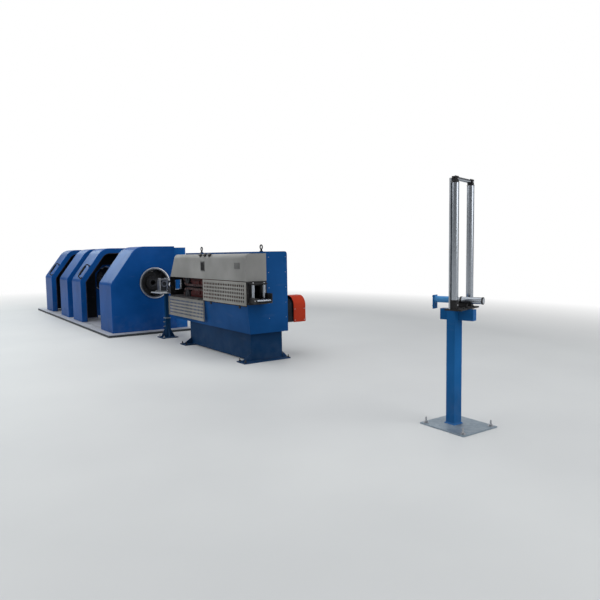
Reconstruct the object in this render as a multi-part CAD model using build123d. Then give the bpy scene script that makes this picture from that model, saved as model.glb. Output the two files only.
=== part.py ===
from build123d import *
import os
from math import cos, hypot, pi, radians, sin

# Cage cabling line: two enclosed cage heads, a die post, a twin-belt haul-off
# and a guide roller stand, all on one straight cable axis. Millimetres.
# +X runs downstream along the cable, +Y is the drive side, +Z is up.
# The origin is on the floor under the cable axis, at the outlet face of head 1.

os.makedirs("parts", exist_ok=True)

# Line
axis_height = 1000
seat_gap = 0.3
shaft_play = 0.1

# Head base
head_pitch = 3690
base_front = 1000
base_back = 740
base_outlet = 190
base_inlet = 160
plinth_height = 43
deck_thick = 12

# Housings, both the fixed ones and the sliding ones
shell_front = 870
shell_back = 432
shell_top = 1727
chamfer_foot = 1006
chamfer_head = 350
shell_length = 820
shell_sheet = 25
shell_bend = 120
roof_bend = 320
rim_round = 15
rim_width = 120
doorway_half = 310
lip_depth = 60
hood_lift = 7
open_gap_1 = 1545
open_gap_2 = 1060

# Round outlet in each fixed housing
ring_outer = 310
ring_inner = 286
ring_lip = 18

# Rear housing along each head
rear_clearance = 8
rear_back = 680
rear_top = 1700
rear_wall = 25
rear_setback = 20

# Rails and shoes of the sliding housings
rail_width = 20
rail_height = 6
rail_inset = 10
shoe_length = 90
shoe_height = 42
shoe_reach = 45
shoe_margin = 60
arm_reach = 75
arm_thick = 13
top_rail_height = 8
top_rail_offset = 40

# Pull handle on each sliding housing
handle_span = 350
handle_bar = 26
handle_stand = 95
handle_bend = 35
handle_inset = 45
handle_centre = 0.25

# Cage rotor
cage_radius = 560
cage_front = 150
cage_length = 1250
disc_thick = 25
disc_hole_radius = 88
disc_hole_circle = 300
sector_count = 6
bar_inner = 374
bar_outer = 520
bar_thick = 20
shaft_radius = 80
shaft_bore = 50
shaft_nose = 110
shaft_tail = 2330
hub_radius = 140
hub_length = 45
pulley_radius = 240
pulley_width = 150
pulley_groove = 9
pulley_grooves = 5

# Bobbins in the cage
bobbin_radius = 160
bobbin_length = 320
bobbin_flange = 14
bobbin_barrel = 75
bobbin_place = 346
bobbin_margin = 45
spindle_radius = 22

# Bearing stand behind each cage
stock_gap = 100
stock_length = 640
stock_half_width = 300
stock_drop = 280
stock_wall = 25
bearing_width = 90
bearing_radius = 150

# Die post
die_post_x = 800
die_post_side = 75
die_plate_size = 300
die_plate_thick = 16
die_sleeve = 92
die_sleeve_top = 372
die_tube = 72
die_gusset_reach = 90
die_gusset_height = 170
die_gusset_thick = 10
die_table_up = 420
die_table_down = 120
die_table_front = 220
die_table_back = 110
die_table_thick = 18
die_table_drop = 150
die_block_offset = 350
die_block_length = 110
die_block_half = 95
die_block_rise = 72
die_bore = 40
die_block_round = 25
guide_frame_offset = 60
guide_frame_half = 78
guide_frame_bar = 18
guide_frame_length = 60
guide_frame_web = 10
guide_eye = 48

# Haul-off: main lengths
haul_inlet = 1200
haul_outlet = 4055
haul_front = 167
column_front = 167
column_back = 522
column_rise = 580
column_bend = 40
hood_rise = 555
hood_bottom_rise = 164
body_top_drop = 170
body_height = 416
body_front_top = 155
body_front_bottom = 110

# Haul-off: pedestal and feet
pedestal_inlet_inset = 600
pedestal_outlet_inset = 125
pedestal_front = 42
pedestal_back = 490
foot_thick = 16
foot_front = 220
foot_back = 554
foot_length = 240
foot_overlap = 65
foot_hole_radius = 11
foot_hole_inset = 35
front_gusset_reach = 165
front_gusset_height = 110
rear_gusset_reach = 80
rear_gusset_height = 80
gusset_thick = 12

# Haul-off: hood
hood_rake = 245
hood_sheet = 20
hood_bend = 75
hood_nose_radius = 60

# Haul-off: tracks
track_gap = 30
wheel_radius = 95
wheel_width = 100
belt_thick = 8
pad_height = 27
pad_length = 80
pads_per_run = 22
pads_per_turn = 3
track_width = 120
groove_depth = 12
groove_half = 30
track_inlet_margin = 400
track_outlet_margin = 120
wheel_shaft = 22
beam_half_width = 30
beam_half_height = 70
beam_gap = 20
beam_arm_length = 110
beam_arm_count = 3
press_block_length = 300
press_block_gap = 44
press_block_half_width = 55
press_block_height = 62
press_block_start = 110
press_block_clearance = 2
trough_clearance = 35

# Haul-off: guards
guard_split_place = 1460
guard_overhang = 30
guard_end_gap = 5
guard_thick = 20
guard_sheet = 4
guard_rim = 18
hinge_y = 172
hinge_drop = 14
hinge_radius = 7
hinge_length = 60
hinge_leaf = 8
hinge_inset = 220
guard_top_gap = 10

# Haul-off: end plates and the roller gate at each end
end_plate_thick = 15
end_slot_half = 62
end_slot_drop = 80
end_slot_rise = 100
roller_radius = 22.5
roller_pin = 8
gate_half = 88
gate_reach = 60
gate_drop = 82
gate_rise = 118
gate_arm_thick = 16
gate_arm_depth = 95
gate_arm_half = 128
sill_reach = 190
sill_half = 114
sill_drop = 78
cheek_thick = 10
cheek_gap = 4
cheek_height = 75
cheek_rise = 60
cheek_tail = 30
bracket_floor = 12

# Haul-off: drive
cover_width = 380
cover_end_gap = 175
cover_lift = 91
cover_height = 400
cover_front = 745
cover_back = 960
cover_sheet = 10
cover_round = 150
motor_shrink = 55
motor_back = 925

# Lifting eyes on the haul-off
eye_ring = 40
eye_wire = 9
eye_shank = 14
eye_rise = 26
eye_inlet_inset = 570
eye_outlet_inset = 230
eye_back = 60

# Guide roller stand
stand_x = 7655
stand_offset = 72
stand_plate_length = 490
stand_plate_width = 445
stand_plate_ahead = 50
stand_plate_thick = 12
stand_post_size = 94
stand_post_rise = 40
stand_hole_radius = 9
stand_hole_inset = 38

# Guide roller head on the stand, turned a little to the line
head_x = 7712
head_offset = 38
head_turn = 17
cross_up = 190
cross_down = 115
cross_depth = 98
cross_half = 34
table_thick = 14
table_width = 150
table_length = 400
gate_spread = 165
post_roller_radius = 32
post_roller_pin = 10
post_roller_rise = 126
post_roller_length = 999
pin_block = 26
cap_gap = 3
cap_half = 22
cap_high = 45
cap_pin_depth = 12
top_roller_radius = 17
top_roller_pin = 6
top_roller_drop = 17
carrier_radius = 25
carrier_rise = 118
carrier_up = 250
carrier_down = 192
carrier_plate = 12
carrier_plate_half = 38
carrier_plate_drop = 85
saddle_length = 90
saddle_half = 15


def block(x, y, z):
    """A box from three (low, high) pairs."""
    size = [high - low for low, high in (x, y, z)]
    middle = [(high + low) / 2 for low, high in (x, y, z)]
    return Pos(*middle) * Box(*size)


def bar_x(x, y, z, radius):
    """A round bar along X between the two values of x."""
    return Pos((x[0] + x[1]) / 2, y, z) * Rot(0, 90, 0) * Cylinder(radius, x[1] - x[0])


def bar_y(x, y, z, radius):
    """A round bar along Y between the two values of y."""
    return Pos(x, (y[0] + y[1]) / 2, z) * Rot(90, 0, 0) * Cylinder(radius, y[1] - y[0])


def bar_z(x, y, z, radius):
    """A round bar along Z between the two values of z."""
    return Pos(x, y, (z[0] + z[1]) / 2) * Cylinder(radius, z[1] - z[0])


def across(points, x):
    """A plate in the YZ plane between the two values of x."""
    face = make_face(Polyline(*points, close=True))
    return extrude(Pos(x[0], 0, 0) * Plane.YZ.location * face, x[1] - x[0], dir=(1, 0, 0))


def save(name, shape):
    shape.label = name
    export_step(shape, "parts/" + name + ".step")


# Housings: an arch with an upright front, a slanted face and a flat roof

deck_top = plinth_height + deck_thick
slant = (shell_front - chamfer_head, shell_top - chamfer_foot)
slant_length = hypot(*slant)
normal_front = (1, 0)
normal_slant = (slant[1] / slant_length, -slant[0] / slant_length)
normal_roof = (0, -1)


def moved_corner(corner, one, other, inset):
    """The corner of two faces after both move inwards by inset."""
    share = inset / (1 + one[0] * other[0] + one[1] * other[1])
    return (corner[0] + share * (one[0] + other[0]), corner[1] + share * (one[1] + other[1]))


def arch(x, inset, foot):
    """The whole inside of the arch outline, moved inwards by inset, between two x."""
    low = moved_corner((-shell_front, chamfer_foot), normal_front, normal_slant, inset)
    high = moved_corner((-chamfer_head, shell_top), normal_slant, normal_roof, inset)
    edge = (-shell_front + inset, foot)
    roof = shell_top - inset
    face = make_face(Polyline(edge, low, high, (shell_back, roof), (shell_back, foot), close=True))
    for corner, bend in ((low, shell_bend), (high, roof_bend)):
        spot = face.vertices().sort_by_distance((corner[0], corner[1], 0))[0]
        face = fillet([spot], max(bend - inset, shell_sheet))
    return extrude(Pos(x[0], 0, 0) * Plane.YZ.location * face, x[1] - x[0], dir=(1, 0, 0))


def housing(outlet, foot, closed_outlet):
    """One housing from its outlet face back along -X, open at the rear side.

    A fixed one has a plate with a round hole at its outlet; a sliding one has an end wall
    with a doorway at its inlet, which passes over the rotor's bearing stand.
    """
    x = (outlet - shell_length, outlet)
    inside_x = (x[0] + shell_sheet, x[1] - shell_sheet)
    walls = arch(x, 0, foot)
    outline = walls.faces().sort_by(Axis.X)[-1].edges().sort_by(Axis.Z)[1:]
    walls = fillet(outline.sort_by(Axis.Y)[:-1], rim_round)
    walls -= arch(inside_x, shell_sheet, foot)
    lip = (shell_back - shell_sheet, shell_back)
    walls += block(inside_x, lip, (shell_top - lip_depth, shell_top - shell_sheet))
    if closed_outlet:
        walls -= arch((x[0], inside_x[0]), rim_width, foot)
        walls -= bar_x((inside_x[1], x[1]), 0, axis_height, ring_inner + seat_gap)
    else:
        walls -= arch((inside_x[1], x[1]), rim_width, foot)
        doorway_x = (x[0], inside_x[0])
        walls -= block(doorway_x, (-doorway_half, doorway_half), (foot, axis_height))
        walls -= bar_x(doorway_x, 0, axis_height, doorway_half)
    return walls


def outlet_ring(outlet):
    """The bright ring that lines the round outlet."""
    tube_x = (outlet - shell_sheet - ring_lip, outlet + ring_lip)
    tube = bar_x(tube_x, 0, axis_height, ring_inner)
    face_x = (outlet + seat_gap, outlet + ring_lip)
    face = bar_x(face_x, 0, axis_height, ring_outer)
    return tube + face - bar_x(tube_x, 0, axis_height, ring_inner - ring_lip)


def rear_housing(outlet):
    """The fixed rear housing: back wall, roof and two end plates, open to the cage."""
    length = shell_length * 2 + open_gap_1
    x = (outlet - length, outlet - rear_setback)
    y = (shell_back + rear_clearance, rear_back)
    outer = block(x, y, (deck_top, rear_top))
    inner_x = (x[0] + rear_wall, x[1] - rear_wall)
    inner_y = (y[0], y[1] - rear_wall)
    return outer - block(inner_x, inner_y, (deck_top, rear_top - rear_wall))


wall_inside = -shell_front + shell_sheet
rail_front = (wall_inside + rail_inset, wall_inside + rail_inset + rail_width)
rail_rear = (shell_back + top_rail_offset, shell_back + top_rail_offset + rail_width)


def hood_rails(outlet):
    """A floor rail behind the front wall and a rail on the rear housing's roof."""
    x = (outlet - 2 * shell_length - open_gap_1, outlet - shell_length)
    front = block(x, rail_front, (deck_top, deck_top + rail_height))
    rear = block((x[0], x[1] - shell_sheet), rail_rear, (rear_top, rear_top + top_rail_height))
    return front + rear


def sliding_housing(outlet):
    """A housing that slides on shoes, with two arms over the rear rail."""
    hood = housing(outlet, deck_top + hood_lift, False)
    shoe_z = deck_top + rail_height + seat_gap
    arm_z = (shell_top - arm_thick, shell_top)
    glide_z = rear_top + top_rail_height + seat_gap
    for start in (outlet - shell_length + shoe_margin, outlet - shoe_margin - shoe_length):
        x = (start, start + shoe_length)
        hood += block(x, (wall_inside, wall_inside + shoe_reach), (shoe_z, shoe_z + shoe_height))
        hood += block(x, (shell_back, shell_back + arm_reach), arm_z)
        hood += block(x, rail_rear, (glide_z, arm_z[0]))
    return hood


def pull_handle(outlet):
    """A bent bar handle that stands on the slanted face."""
    middle = (
        -shell_front + slant[0] * handle_centre,
        chamfer_foot + slant[1] * handle_centre,
    )
    along = (slant[0] / slant_length, slant[1] / slant_length)
    out = (-normal_slant[0], -normal_slant[1])
    half = handle_span / 2
    x = outlet - handle_inset

    def spot(run, rise):
        y = middle[0] + along[0] * run + out[0] * rise
        z = middle[1] + along[1] * run + out[1] * rise
        return Vector(x, y, z)

    stand = handle_stand - handle_bar / 2
    feet = (spot(-half, seat_gap), spot(half, seat_gap))
    path = FilletPolyline(feet[0], spot(-half, stand), spot(half, stand), feet[1], radius=handle_bend)
    start = Plane(origin=path @ 0, z_dir=path % 0)
    return sweep(start * Circle(handle_bar / 2), path=path)


# Cage rotor

def turned(shape, angle):
    """The shape turned about the cable axis."""
    return Pos(0, 0, axis_height) * Rot(angle, 0, 0) * Pos(0, 0, -axis_height) * shape


disc_front = (-cage_front - disc_thick, -cage_front)
disc_rear = (-cage_front - cage_length, -cage_front - cage_length + disc_thick)
row_front = disc_front[0] - bobbin_margin - bobbin_radius
row_rear = disc_rear[1] + bobbin_margin + bobbin_radius
sector_angle = 360 / sector_count


def cage(outlet):
    """Two discs joined by flat bars, with a spindle for each bobbin between the bars."""
    hub = (disc_front[1], disc_front[1] + hub_length)
    front = bar_x(disc_front, 0, axis_height, cage_radius) + bar_x(hub, 0, axis_height, hub_radius)
    rear = bar_x(disc_rear, 0, axis_height, cage_radius)
    sector_slope = sin(radians(sector_angle / 2)) / cos(radians(sector_angle / 2))
    reach = bobbin_place * sector_slope
    bar_height = (axis_height + bar_inner, axis_height + bar_outer)
    bar = block((disc_rear[1], disc_front[0]), (-bar_thick / 2, bar_thick / 2), bar_height)
    both_bars = turned(bar, -sector_angle / 2) + turned(bar, sector_angle / 2)
    hole = bar_x((disc_rear[0], hub[1]), 0, axis_height + disc_hole_circle, disc_hole_radius)
    bars = []
    for n in range(sector_count):
        row = row_front if n % 2 == 0 else row_rear
        spindle = bar_y(row, (-reach, reach), axis_height + bobbin_place, spindle_radius)
        bars.append(turned(bar, sector_angle * (n + 0.5)))
        between_bars = (spindle - both_bars).solids().sort_by(SortBy.VOLUME)[-1]
        bars.append(turned(between_bars, sector_angle * n))
        front -= turned(hole, sector_angle * n)
        rear -= turned(hole, sector_angle * n)
    core = bar_x((disc_rear[0], hub[1]), 0, axis_height, shaft_radius)
    return Compound(children=[Pos(outlet, 0, 0) * piece for piece in [front - core, rear - core] + bars])


def bobbins(outlet):
    """One bobbin in each sector, alternately in the front and the rear row."""
    half = bobbin_length / 2
    inner = half - bobbin_flange
    found = []
    for n in range(sector_count):
        row = row_front if n % 2 == 0 else row_rear
        height = axis_height + bobbin_place
        spool = bar_y(row, (-inner, inner), height, bobbin_barrel)
        spool += bar_y(row, (-half, -inner), height, bobbin_radius)
        spool += bar_y(row, (inner, half), height, bobbin_radius)
        spool -= bar_y(row, (-half, half), height, spindle_radius + seat_gap)
        found.append(Pos(outlet, 0, 0) * turned(spool, sector_angle * n))
    return Compound(children=found)


stock_front = disc_rear[0] - stock_gap
stock_back = stock_front - stock_length
pulley_middle = (stock_front + stock_back) / 2


def rotor_shaft(outlet):
    """The hollow shaft, and the grooved belt pulley on it between its bearings."""
    shaft = bar_x((-shaft_tail, -shaft_nose), 0, axis_height, shaft_radius)
    shaft -= bar_x((-shaft_tail, -shaft_nose), 0, axis_height, shaft_bore)
    width = (pulley_middle - pulley_width / 2, pulley_middle + pulley_width / 2)
    pulley = bar_x(width, 0, axis_height, pulley_radius)
    pitch = pulley_width / pulley_grooves
    for n in range(pulley_grooves):
        middle = width[0] + pitch * (n + 0.5)
        groove = (middle - pulley_groove, middle + pulley_groove)
        ring = bar_x(groove, 0, axis_height, pulley_radius)
        pulley -= ring - bar_x(groove, 0, axis_height, pulley_radius - pulley_groove)
    pulley -= bar_x(width, 0, axis_height, shaft_radius + shaft_play)
    return Compound(children=[Pos(outlet, 0, 0) * shaft, Pos(outlet, 0, 0) * pulley])


def bearing_stand(outlet):
    """A welded stand, open below, and the two bearing blocks that carry the hollow shaft."""
    stock_top = axis_height - stock_drop
    y = (-stock_half_width, stock_half_width)
    stand = block((stock_back, stock_front), y, (deck_top, stock_top))
    hollow_x = (stock_back + stock_wall, stock_front - stock_wall)
    hollow_y = (y[0] + stock_wall, y[1] - stock_wall)
    stand -= block(hollow_x, hollow_y, (deck_top, stock_top - stock_wall))
    pieces = [Pos(outlet, 0, 0) * stand]
    for start in (stock_back, stock_front - bearing_width):
        x = (start, start + bearing_width)
        bearing = block(x, (-bearing_radius, bearing_radius), (stock_top, axis_height))
        bearing += bar_x(x, 0, axis_height, bearing_radius)
        bearing -= bar_x(x, 0, axis_height, shaft_radius + shaft_play)
        pieces.append(Pos(outlet, 0, 0) * bearing)
    return Compound(children=pieces)


head_length = shell_length * 2 + open_gap_1
base_x = (-head_pitch - head_length - base_inlet, base_outlet)
base_y = (-base_front, base_back)
save("head_plinth", block(base_x, base_y, (0, plinth_height)))
save("head_deck", block(base_x, base_y, (plinth_height, deck_top)))

heads = (("1", 0, open_gap_1), ("2", -head_pitch, open_gap_2))
for number, outlet, open_gap in heads:
    slide_outlet = outlet - shell_length - open_gap
    save("fixed_housing_" + number, housing(outlet, deck_top, True))
    save("outlet_ring_" + number, outlet_ring(outlet))
    save("rear_housing_" + number, rear_housing(outlet))
    save("hood_rails_" + number, hood_rails(outlet))
    save("sliding_housing_" + number, sliding_housing(slide_outlet))
    save("pull_handle_" + number, pull_handle(slide_outlet))
    save("cage_" + number, cage(outlet))
    save("bobbins_" + number, bobbins(outlet))
    save("rotor_shaft_" + number, rotor_shaft(outlet))
    save("bearing_stand_" + number, bearing_stand(outlet))

# Die post

die_table_z = axis_height - die_table_drop
half_plate = die_plate_size / 2
half_sleeve = die_sleeve / 2
half_tube = die_tube / 2
die_table_low = die_table_z - die_table_thick
post = block((-half_plate, half_plate), (-half_plate, half_plate), (0, die_plate_thick))
post += block((-half_sleeve, half_sleeve), (-half_sleeve, half_sleeve), (die_plate_thick, die_sleeve_top))
post += block((-half_tube, half_tube), (-half_tube, half_tube), (die_sleeve_top, die_table_low))
half_gusset = die_gusset_thick / 2
gusset = across(
    [
        (half_sleeve, die_plate_thick),
        (half_sleeve + die_gusset_reach, die_plate_thick),
        (half_sleeve, die_plate_thick + die_gusset_height),
    ],
    (-half_gusset, half_gusset),
)
for quarter in range(4):
    post += Rot(0, 0, 90 * quarter) * gusset
save("die_post", Pos(die_post_x, -die_post_side, 0) * post)

table = block(
    (die_post_x - die_table_up, die_post_x + die_table_down),
    (-die_table_front, die_table_back),
    (die_table_low, die_table_z),
)
save("die_table", table)

die_x = die_post_x - die_block_offset
die_span = (die_x - die_block_length / 2, die_x + die_block_length / 2)
die_block = block(die_span, (-die_block_half, die_block_half), (die_table_z, axis_height + die_block_rise))
die_block = fillet(die_block.edges().filter_by(Axis.X).group_by(Axis.Z)[-1], die_block_round)
die_block -= bar_x(die_span, 0, axis_height, die_bore)
save("die_block", die_block)

guide_x = die_post_x + guide_frame_offset
guide_span = (guide_x - guide_frame_length / 2, guide_x + guide_frame_length / 2)
guide_y = (-guide_frame_half, guide_frame_half)
guide_z = (die_table_z, axis_height + guide_frame_half)
guide = block(guide_span, guide_y, guide_z)
guide -= block(
    guide_span,
    (guide_y[0] + guide_frame_bar, guide_y[1] - guide_frame_bar),
    (guide_z[0] + guide_frame_bar, guide_z[1] - guide_frame_bar),
)
web_span = (guide_x - guide_frame_web / 2, guide_x + guide_frame_web / 2)
guide += block(web_span, guide_y, guide_z) - bar_x(web_span, 0, axis_height, guide_eye)
save("guide_frame", guide)

# Haul-off frame

haul_x = (haul_inlet, haul_outlet)
column_top = axis_height + column_rise
hood_top = axis_height + hood_rise
hood_bottom = axis_height + hood_bottom_rise
body_top = axis_height - body_top_drop
body_bottom = body_top - body_height
pedestal_inlet = haul_inlet + pedestal_inlet_inset
pedestal_outlet = haul_outlet - pedestal_outlet_inset
save(
    "pedestal",
    block((pedestal_inlet, pedestal_outlet), (-pedestal_front, pedestal_back), (foot_thick, body_bottom)),
)


def foot(low):
    """A foot plate under one end of the pedestal, with a gusset each side."""
    x = (low, low + foot_length)
    plate = block(x, (-foot_front, foot_back), (0, foot_thick))
    for hole_x in (x[0] + foot_hole_inset, x[1] - foot_hole_inset):
        for hole_y in (-foot_front + foot_hole_inset, foot_back - foot_hole_inset):
            plate -= bar_z(hole_x, hole_y, (0, foot_thick), foot_hole_radius)
    middle = (x[0] + x[1]) / 2
    span = (middle - gusset_thick / 2, middle + gusset_thick / 2)
    front = [
        (-pedestal_front, foot_thick),
        (-pedestal_front - front_gusset_reach, foot_thick),
        (-pedestal_front, foot_thick + front_gusset_height),
    ]
    rear = [
        (pedestal_back, foot_thick),
        (pedestal_back + rear_gusset_reach, foot_thick),
        (pedestal_back, foot_thick + rear_gusset_height),
    ]
    return plate + across(front, span) + across(rear, span)


save("foot_inlet", foot(pedestal_inlet - foot_overlap))
save("foot_outlet", foot(pedestal_outlet + foot_overlap - foot_length + foot_overlap))

track_radius = wheel_radius + seat_gap + belt_thick + pad_height
wheel_inlet = haul_inlet + track_inlet_margin + track_radius
wheel_outlet = haul_outlet - track_outlet_margin - track_radius
wheel_x = (wheel_inlet, wheel_outlet)
upper_z = axis_height + track_gap / 2 + track_radius
lower_z = axis_height - track_gap / 2 - track_radius

body = across(
    [
        (-body_front_bottom, body_bottom),
        (-body_front_top, body_top),
        (column_front, body_top),
        (column_front, body_bottom),
    ],
    haul_x,
)
trough_x = (wheel_x[0] - track_radius - trough_clearance, wheel_x[1] + track_radius + trough_clearance)
trough_half = track_width / 2 + trough_clearance
trough_low = lower_z - track_radius - trough_clearance
body -= block(trough_x, (-trough_half, trough_half), (trough_low, body_top))
save("haul_body", body)
column = block(haul_x, (column_front, column_back), (body_bottom, column_top))
column = fillet(column.edges().filter_by(Axis.X).sort_by(Axis.Z)[-2:].sort_by(Axis.Y)[-1], column_bend)
save("haul_column", column)


def hood_side(inset):
    """The hood's side outline in the XZ plane, moved inwards by inset."""
    points = [
        (haul_inlet + inset, hood_bottom),
        (haul_inlet + inset + hood_rake, hood_top - inset),
        (haul_outlet - inset, hood_top - inset),
        (haul_outlet - inset, hood_bottom),
    ]
    face = make_face(Polyline(*points, close=True))
    nose = face.vertices().sort_by_distance((points[1][0], points[1][1], 0))[0]
    face = fillet([nose], hood_nose_radius)
    return Plane.XZ.location * face


hood = extrude(hood_side(0), 2 * haul_front, dir=(0, 1, 0))
hood = Pos(0, -haul_front, 0) * hood
front_top = hood.edges().filter_by(Axis.X).sort_by(Axis.Z)[-2:].sort_by(Axis.Y)[0]
hood = fillet([front_top], hood_bend)
hollow = extrude(hood_side(hood_sheet), 2 * haul_front - hood_sheet, dir=(0, 1, 0))
hollow = Pos(0, -haul_front + hood_sheet, 0) * hollow
front_top = hollow.edges().filter_by(Axis.X).sort_by(Axis.Z)[-2:].sort_by(Axis.Y)[0]
hollow = fillet([front_top], hood_bend - hood_sheet)
save("haul_hood", hood - hollow)

# Tracks: a belt loop with grooved pads, its wheels and its beam


def racetrack(radius):
    """The outline of a loop of this radius round both wheels, about z = 0."""
    length = wheel_x[1] - wheel_x[0]
    middle = (wheel_x[0] + wheel_x[1]) / 2
    return Pos(middle, 0, 0) * Rot(90, 0, 0) * SlotCenterToCenter(length, 2 * radius)


def track_loop(centre):
    belt_in = wheel_radius + seat_gap
    belt_out = belt_in + belt_thick
    half = track_width / 2
    loop = extrude(racetrack(belt_out) - racetrack(belt_in), track_width, dir=(0, 1, 0))
    loop = Pos(0, -half, 0) * loop
    pad_face = make_face(
        Polyline(
            (-half, belt_out),
            (-half, track_radius),
            (-groove_half, track_radius),
            (0, track_radius - groove_depth),
            (groove_half, track_radius),
            (half, track_radius),
            (half, belt_out),
            close=True,
        )
    )
    pad = extrude(Pos(-pad_length / 2, 0, 0) * Plane.YZ.location * pad_face, pad_length, dir=(1, 0, 0))
    deep_face = make_face(
        Polyline(
            (-half, belt_in + belt_thick / 2),
            (-half, track_radius),
            (-groove_half, track_radius),
            (0, track_radius - groove_depth),
            (groove_half, track_radius),
            (half, track_radius),
            (half, belt_in + belt_thick / 2),
            close=True,
        )
    )
    turn_pad = extrude(
        Pos(-pad_length / 2, 0, 0) * Plane.YZ.location * deep_face, pad_length, dir=(1, 0, 0)
    )
    turn_pad -= bar_y(0, (-half, half), 0, belt_in)
    pitch = (wheel_x[1] - wheel_x[0]) / pads_per_run
    pads = []
    for n in range(pads_per_run):
        x = wheel_x[0] + pitch * (n + 0.5)
        pads.append(Pos(x, 0, 0) * pad)
        pads.append(Pos(x, 0, 0) * Rot(0, 180, 0) * pad)
    step = 180 / pads_per_turn
    for n in range(pads_per_turn):
        angle = step * (n + 0.5)
        pads.append(Pos(wheel_x[1], 0, 0) * Rot(0, angle, 0) * turn_pad)
        pads.append(Pos(wheel_x[0], 0, 0) * Rot(0, angle - 180, 0) * turn_pad)
    return Pos(0, 0, centre) * (loop + pads)


def track_wheels(centre):
    wheels = []
    half = wheel_width / 2
    for x in wheel_x:
        wheel = bar_y(x, (-half, half), centre, wheel_radius)
        wheels.append(wheel + bar_y(x, (half, column_front), centre, wheel_shaft))
    return Compound(children=wheels)


def track_beam(centre, side):
    """The beam inside the loop, its arms to the column, and the blocks that press on the belt.

    side is -1 where the belt is pressed down and 1 where it is pressed up.
    """
    x = (wheel_x[0] + wheel_radius + beam_gap, wheel_x[1] - wheel_radius - beam_gap)
    z = (centre - beam_half_height, centre + beam_half_height)
    beam = block(x, (-beam_half_width, beam_half_width), z)
    pitch = (x[1] - x[0]) / beam_arm_count
    for n in range(beam_arm_count):
        middle = x[0] + pitch * (n + 0.5)
        span = (middle - beam_arm_length / 2, middle + beam_arm_length / 2)
        beam += block(span, (beam_half_width, column_front), (max(z[0], body_top), z[1]))
    reach = centre + side * (wheel_radius - press_block_clearance)
    press_z = sorted((reach, reach - side * press_block_height))
    count = int((x[1] - x[0] - press_block_start) // (press_block_length + press_block_gap))
    for n in range(count):
        low = x[0] + press_block_start + n * (press_block_length + press_block_gap)
        press_y = (-press_block_half_width, press_block_half_width)
        beam += block((low, low + press_block_length), press_y, press_z)
    return beam


for name, centre, side in (("upper", upper_z, -1), ("lower", lower_z, 1)):
    save("track_" + name, track_loop(centre))
    save("track_wheels_" + name, track_wheels(centre))
    save("track_beam_" + name, track_beam(centre, side))

# Guards of the haul-off, hinged along the body's top edge

guard_split = haul_inlet + guard_split_place
hinge_z = body_top - hinge_drop
guard_low = hinge_z + hinge_radius + seat_gap
guard_high = hood_bottom - guard_top_gap
guard_y = (-hinge_y - guard_thick / 2, -hinge_y + guard_thick / 2)


def guard(x):
    """A shallow tray of folded sheet, upright as when closed."""
    z = (guard_low, guard_high)
    tray = block(x, guard_y, z)
    inner_x = (x[0] + guard_rim, x[1] - guard_rim)
    inner_z = (z[0] + guard_rim, z[1] - guard_rim)
    return tray - block(inner_x, (guard_y[0] + guard_sheet, guard_y[1]), inner_z)


guard_x_inlet = (haul_inlet - guard_overhang, guard_split - guard_end_gap / 2)
guard_x_outlet = (guard_split + guard_end_gap / 2, haul_outlet - guard_end_gap)
hinge_line = Axis((0, -hinge_y, hinge_z), (1, 0, 0))
save("guard_outlet", guard(guard_x_outlet))
save("guard_inlet", guard(guard_x_inlet).rotate(hinge_line, 180))

hinges = []
for x in (guard_x_inlet, guard_x_outlet):
    for middle in (x[0] + hinge_inset, x[1] - hinge_inset):
        span = (middle - hinge_length / 2, middle + hinge_length / 2)
        barrel = bar_x(span, -hinge_y, hinge_z, hinge_radius)
        leaf_y = (-hinge_y, -body_front_top + hinge_leaf)
        leaf = block(span, leaf_y, (hinge_z - hinge_leaf / 2, hinge_z + hinge_leaf / 2))
        hinges.append((barrel + leaf) - body)
save("guard_hinges", Compound(children=hinges))

# Ends of the haul-off: a slotted plate, a bracket and three rollers at each end

end_y = (-body_front_top + guard_end_gap, column_front)
slot_z = (axis_height - end_slot_drop, axis_height + end_slot_rise)
end_plates = []
for plate_x in (
    (haul_inlet, haul_inlet + end_plate_thick),
    (haul_outlet - end_plate_thick, haul_outlet),
):
    plate = block(plate_x, end_y, (body_top, hood_bottom))
    end_plates.append(plate - block(plate_x, (-end_slot_half, end_slot_half), slot_z))
save("end_plates", Compound(children=end_plates))

gate_low = axis_height - gate_drop
gate_high = axis_height + gate_rise
sill_z = axis_height - sill_drop - roller_radius
low_arm = (gate_low - cheek_gap - gate_arm_thick, gate_low - cheek_gap)
high_arm = (gate_high + cheek_gap, gate_high + cheek_gap + gate_arm_thick)
cheek_span = sill_half + cheek_gap + cheek_thick
pin_z = (low_arm[0], high_arm[1])


def gate_bracket(face, way):
    """The lower and the upper bracket of one end; way is 1 at the outlet and -1 at the inlet."""
    gate_x = face + way * gate_reach
    sill_x = face + way * sill_reach
    arm_x = sorted((face, face + way * gate_arm_depth))
    arm_y = (-gate_arm_half, gate_arm_half)
    bracket = block(arm_x, arm_y, low_arm)
    high_bracket = block(arm_x, arm_y, high_arm)
    cheek_x = sorted((face, sill_x + way * cheek_tail))
    cheek_z = (sill_z - cheek_height / 2, sill_z + cheek_height / 2)
    for side in (-1, 1):
        inner = side * (sill_half + cheek_gap)
        rise = cheek_rise if side > 0 else 0
        cheek_y = sorted((inner, inner + side * cheek_thick))
        bracket += block(cheek_x, cheek_y, (cheek_z[0], cheek_z[1] + rise))
        bracket -= bar_z(gate_x, side * gate_half, low_arm, roller_pin + shaft_play)
        high_bracket -= bar_z(gate_x, side * gate_half, high_arm, roller_pin + shaft_play)
    bracket += block(cheek_x, (-cheek_span, cheek_span), (cheek_z[0], cheek_z[0] + bracket_floor))
    bracket -= bar_y(sill_x, (-cheek_span, cheek_span), sill_z, roller_pin + shaft_play)
    return [bracket, high_bracket]


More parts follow.
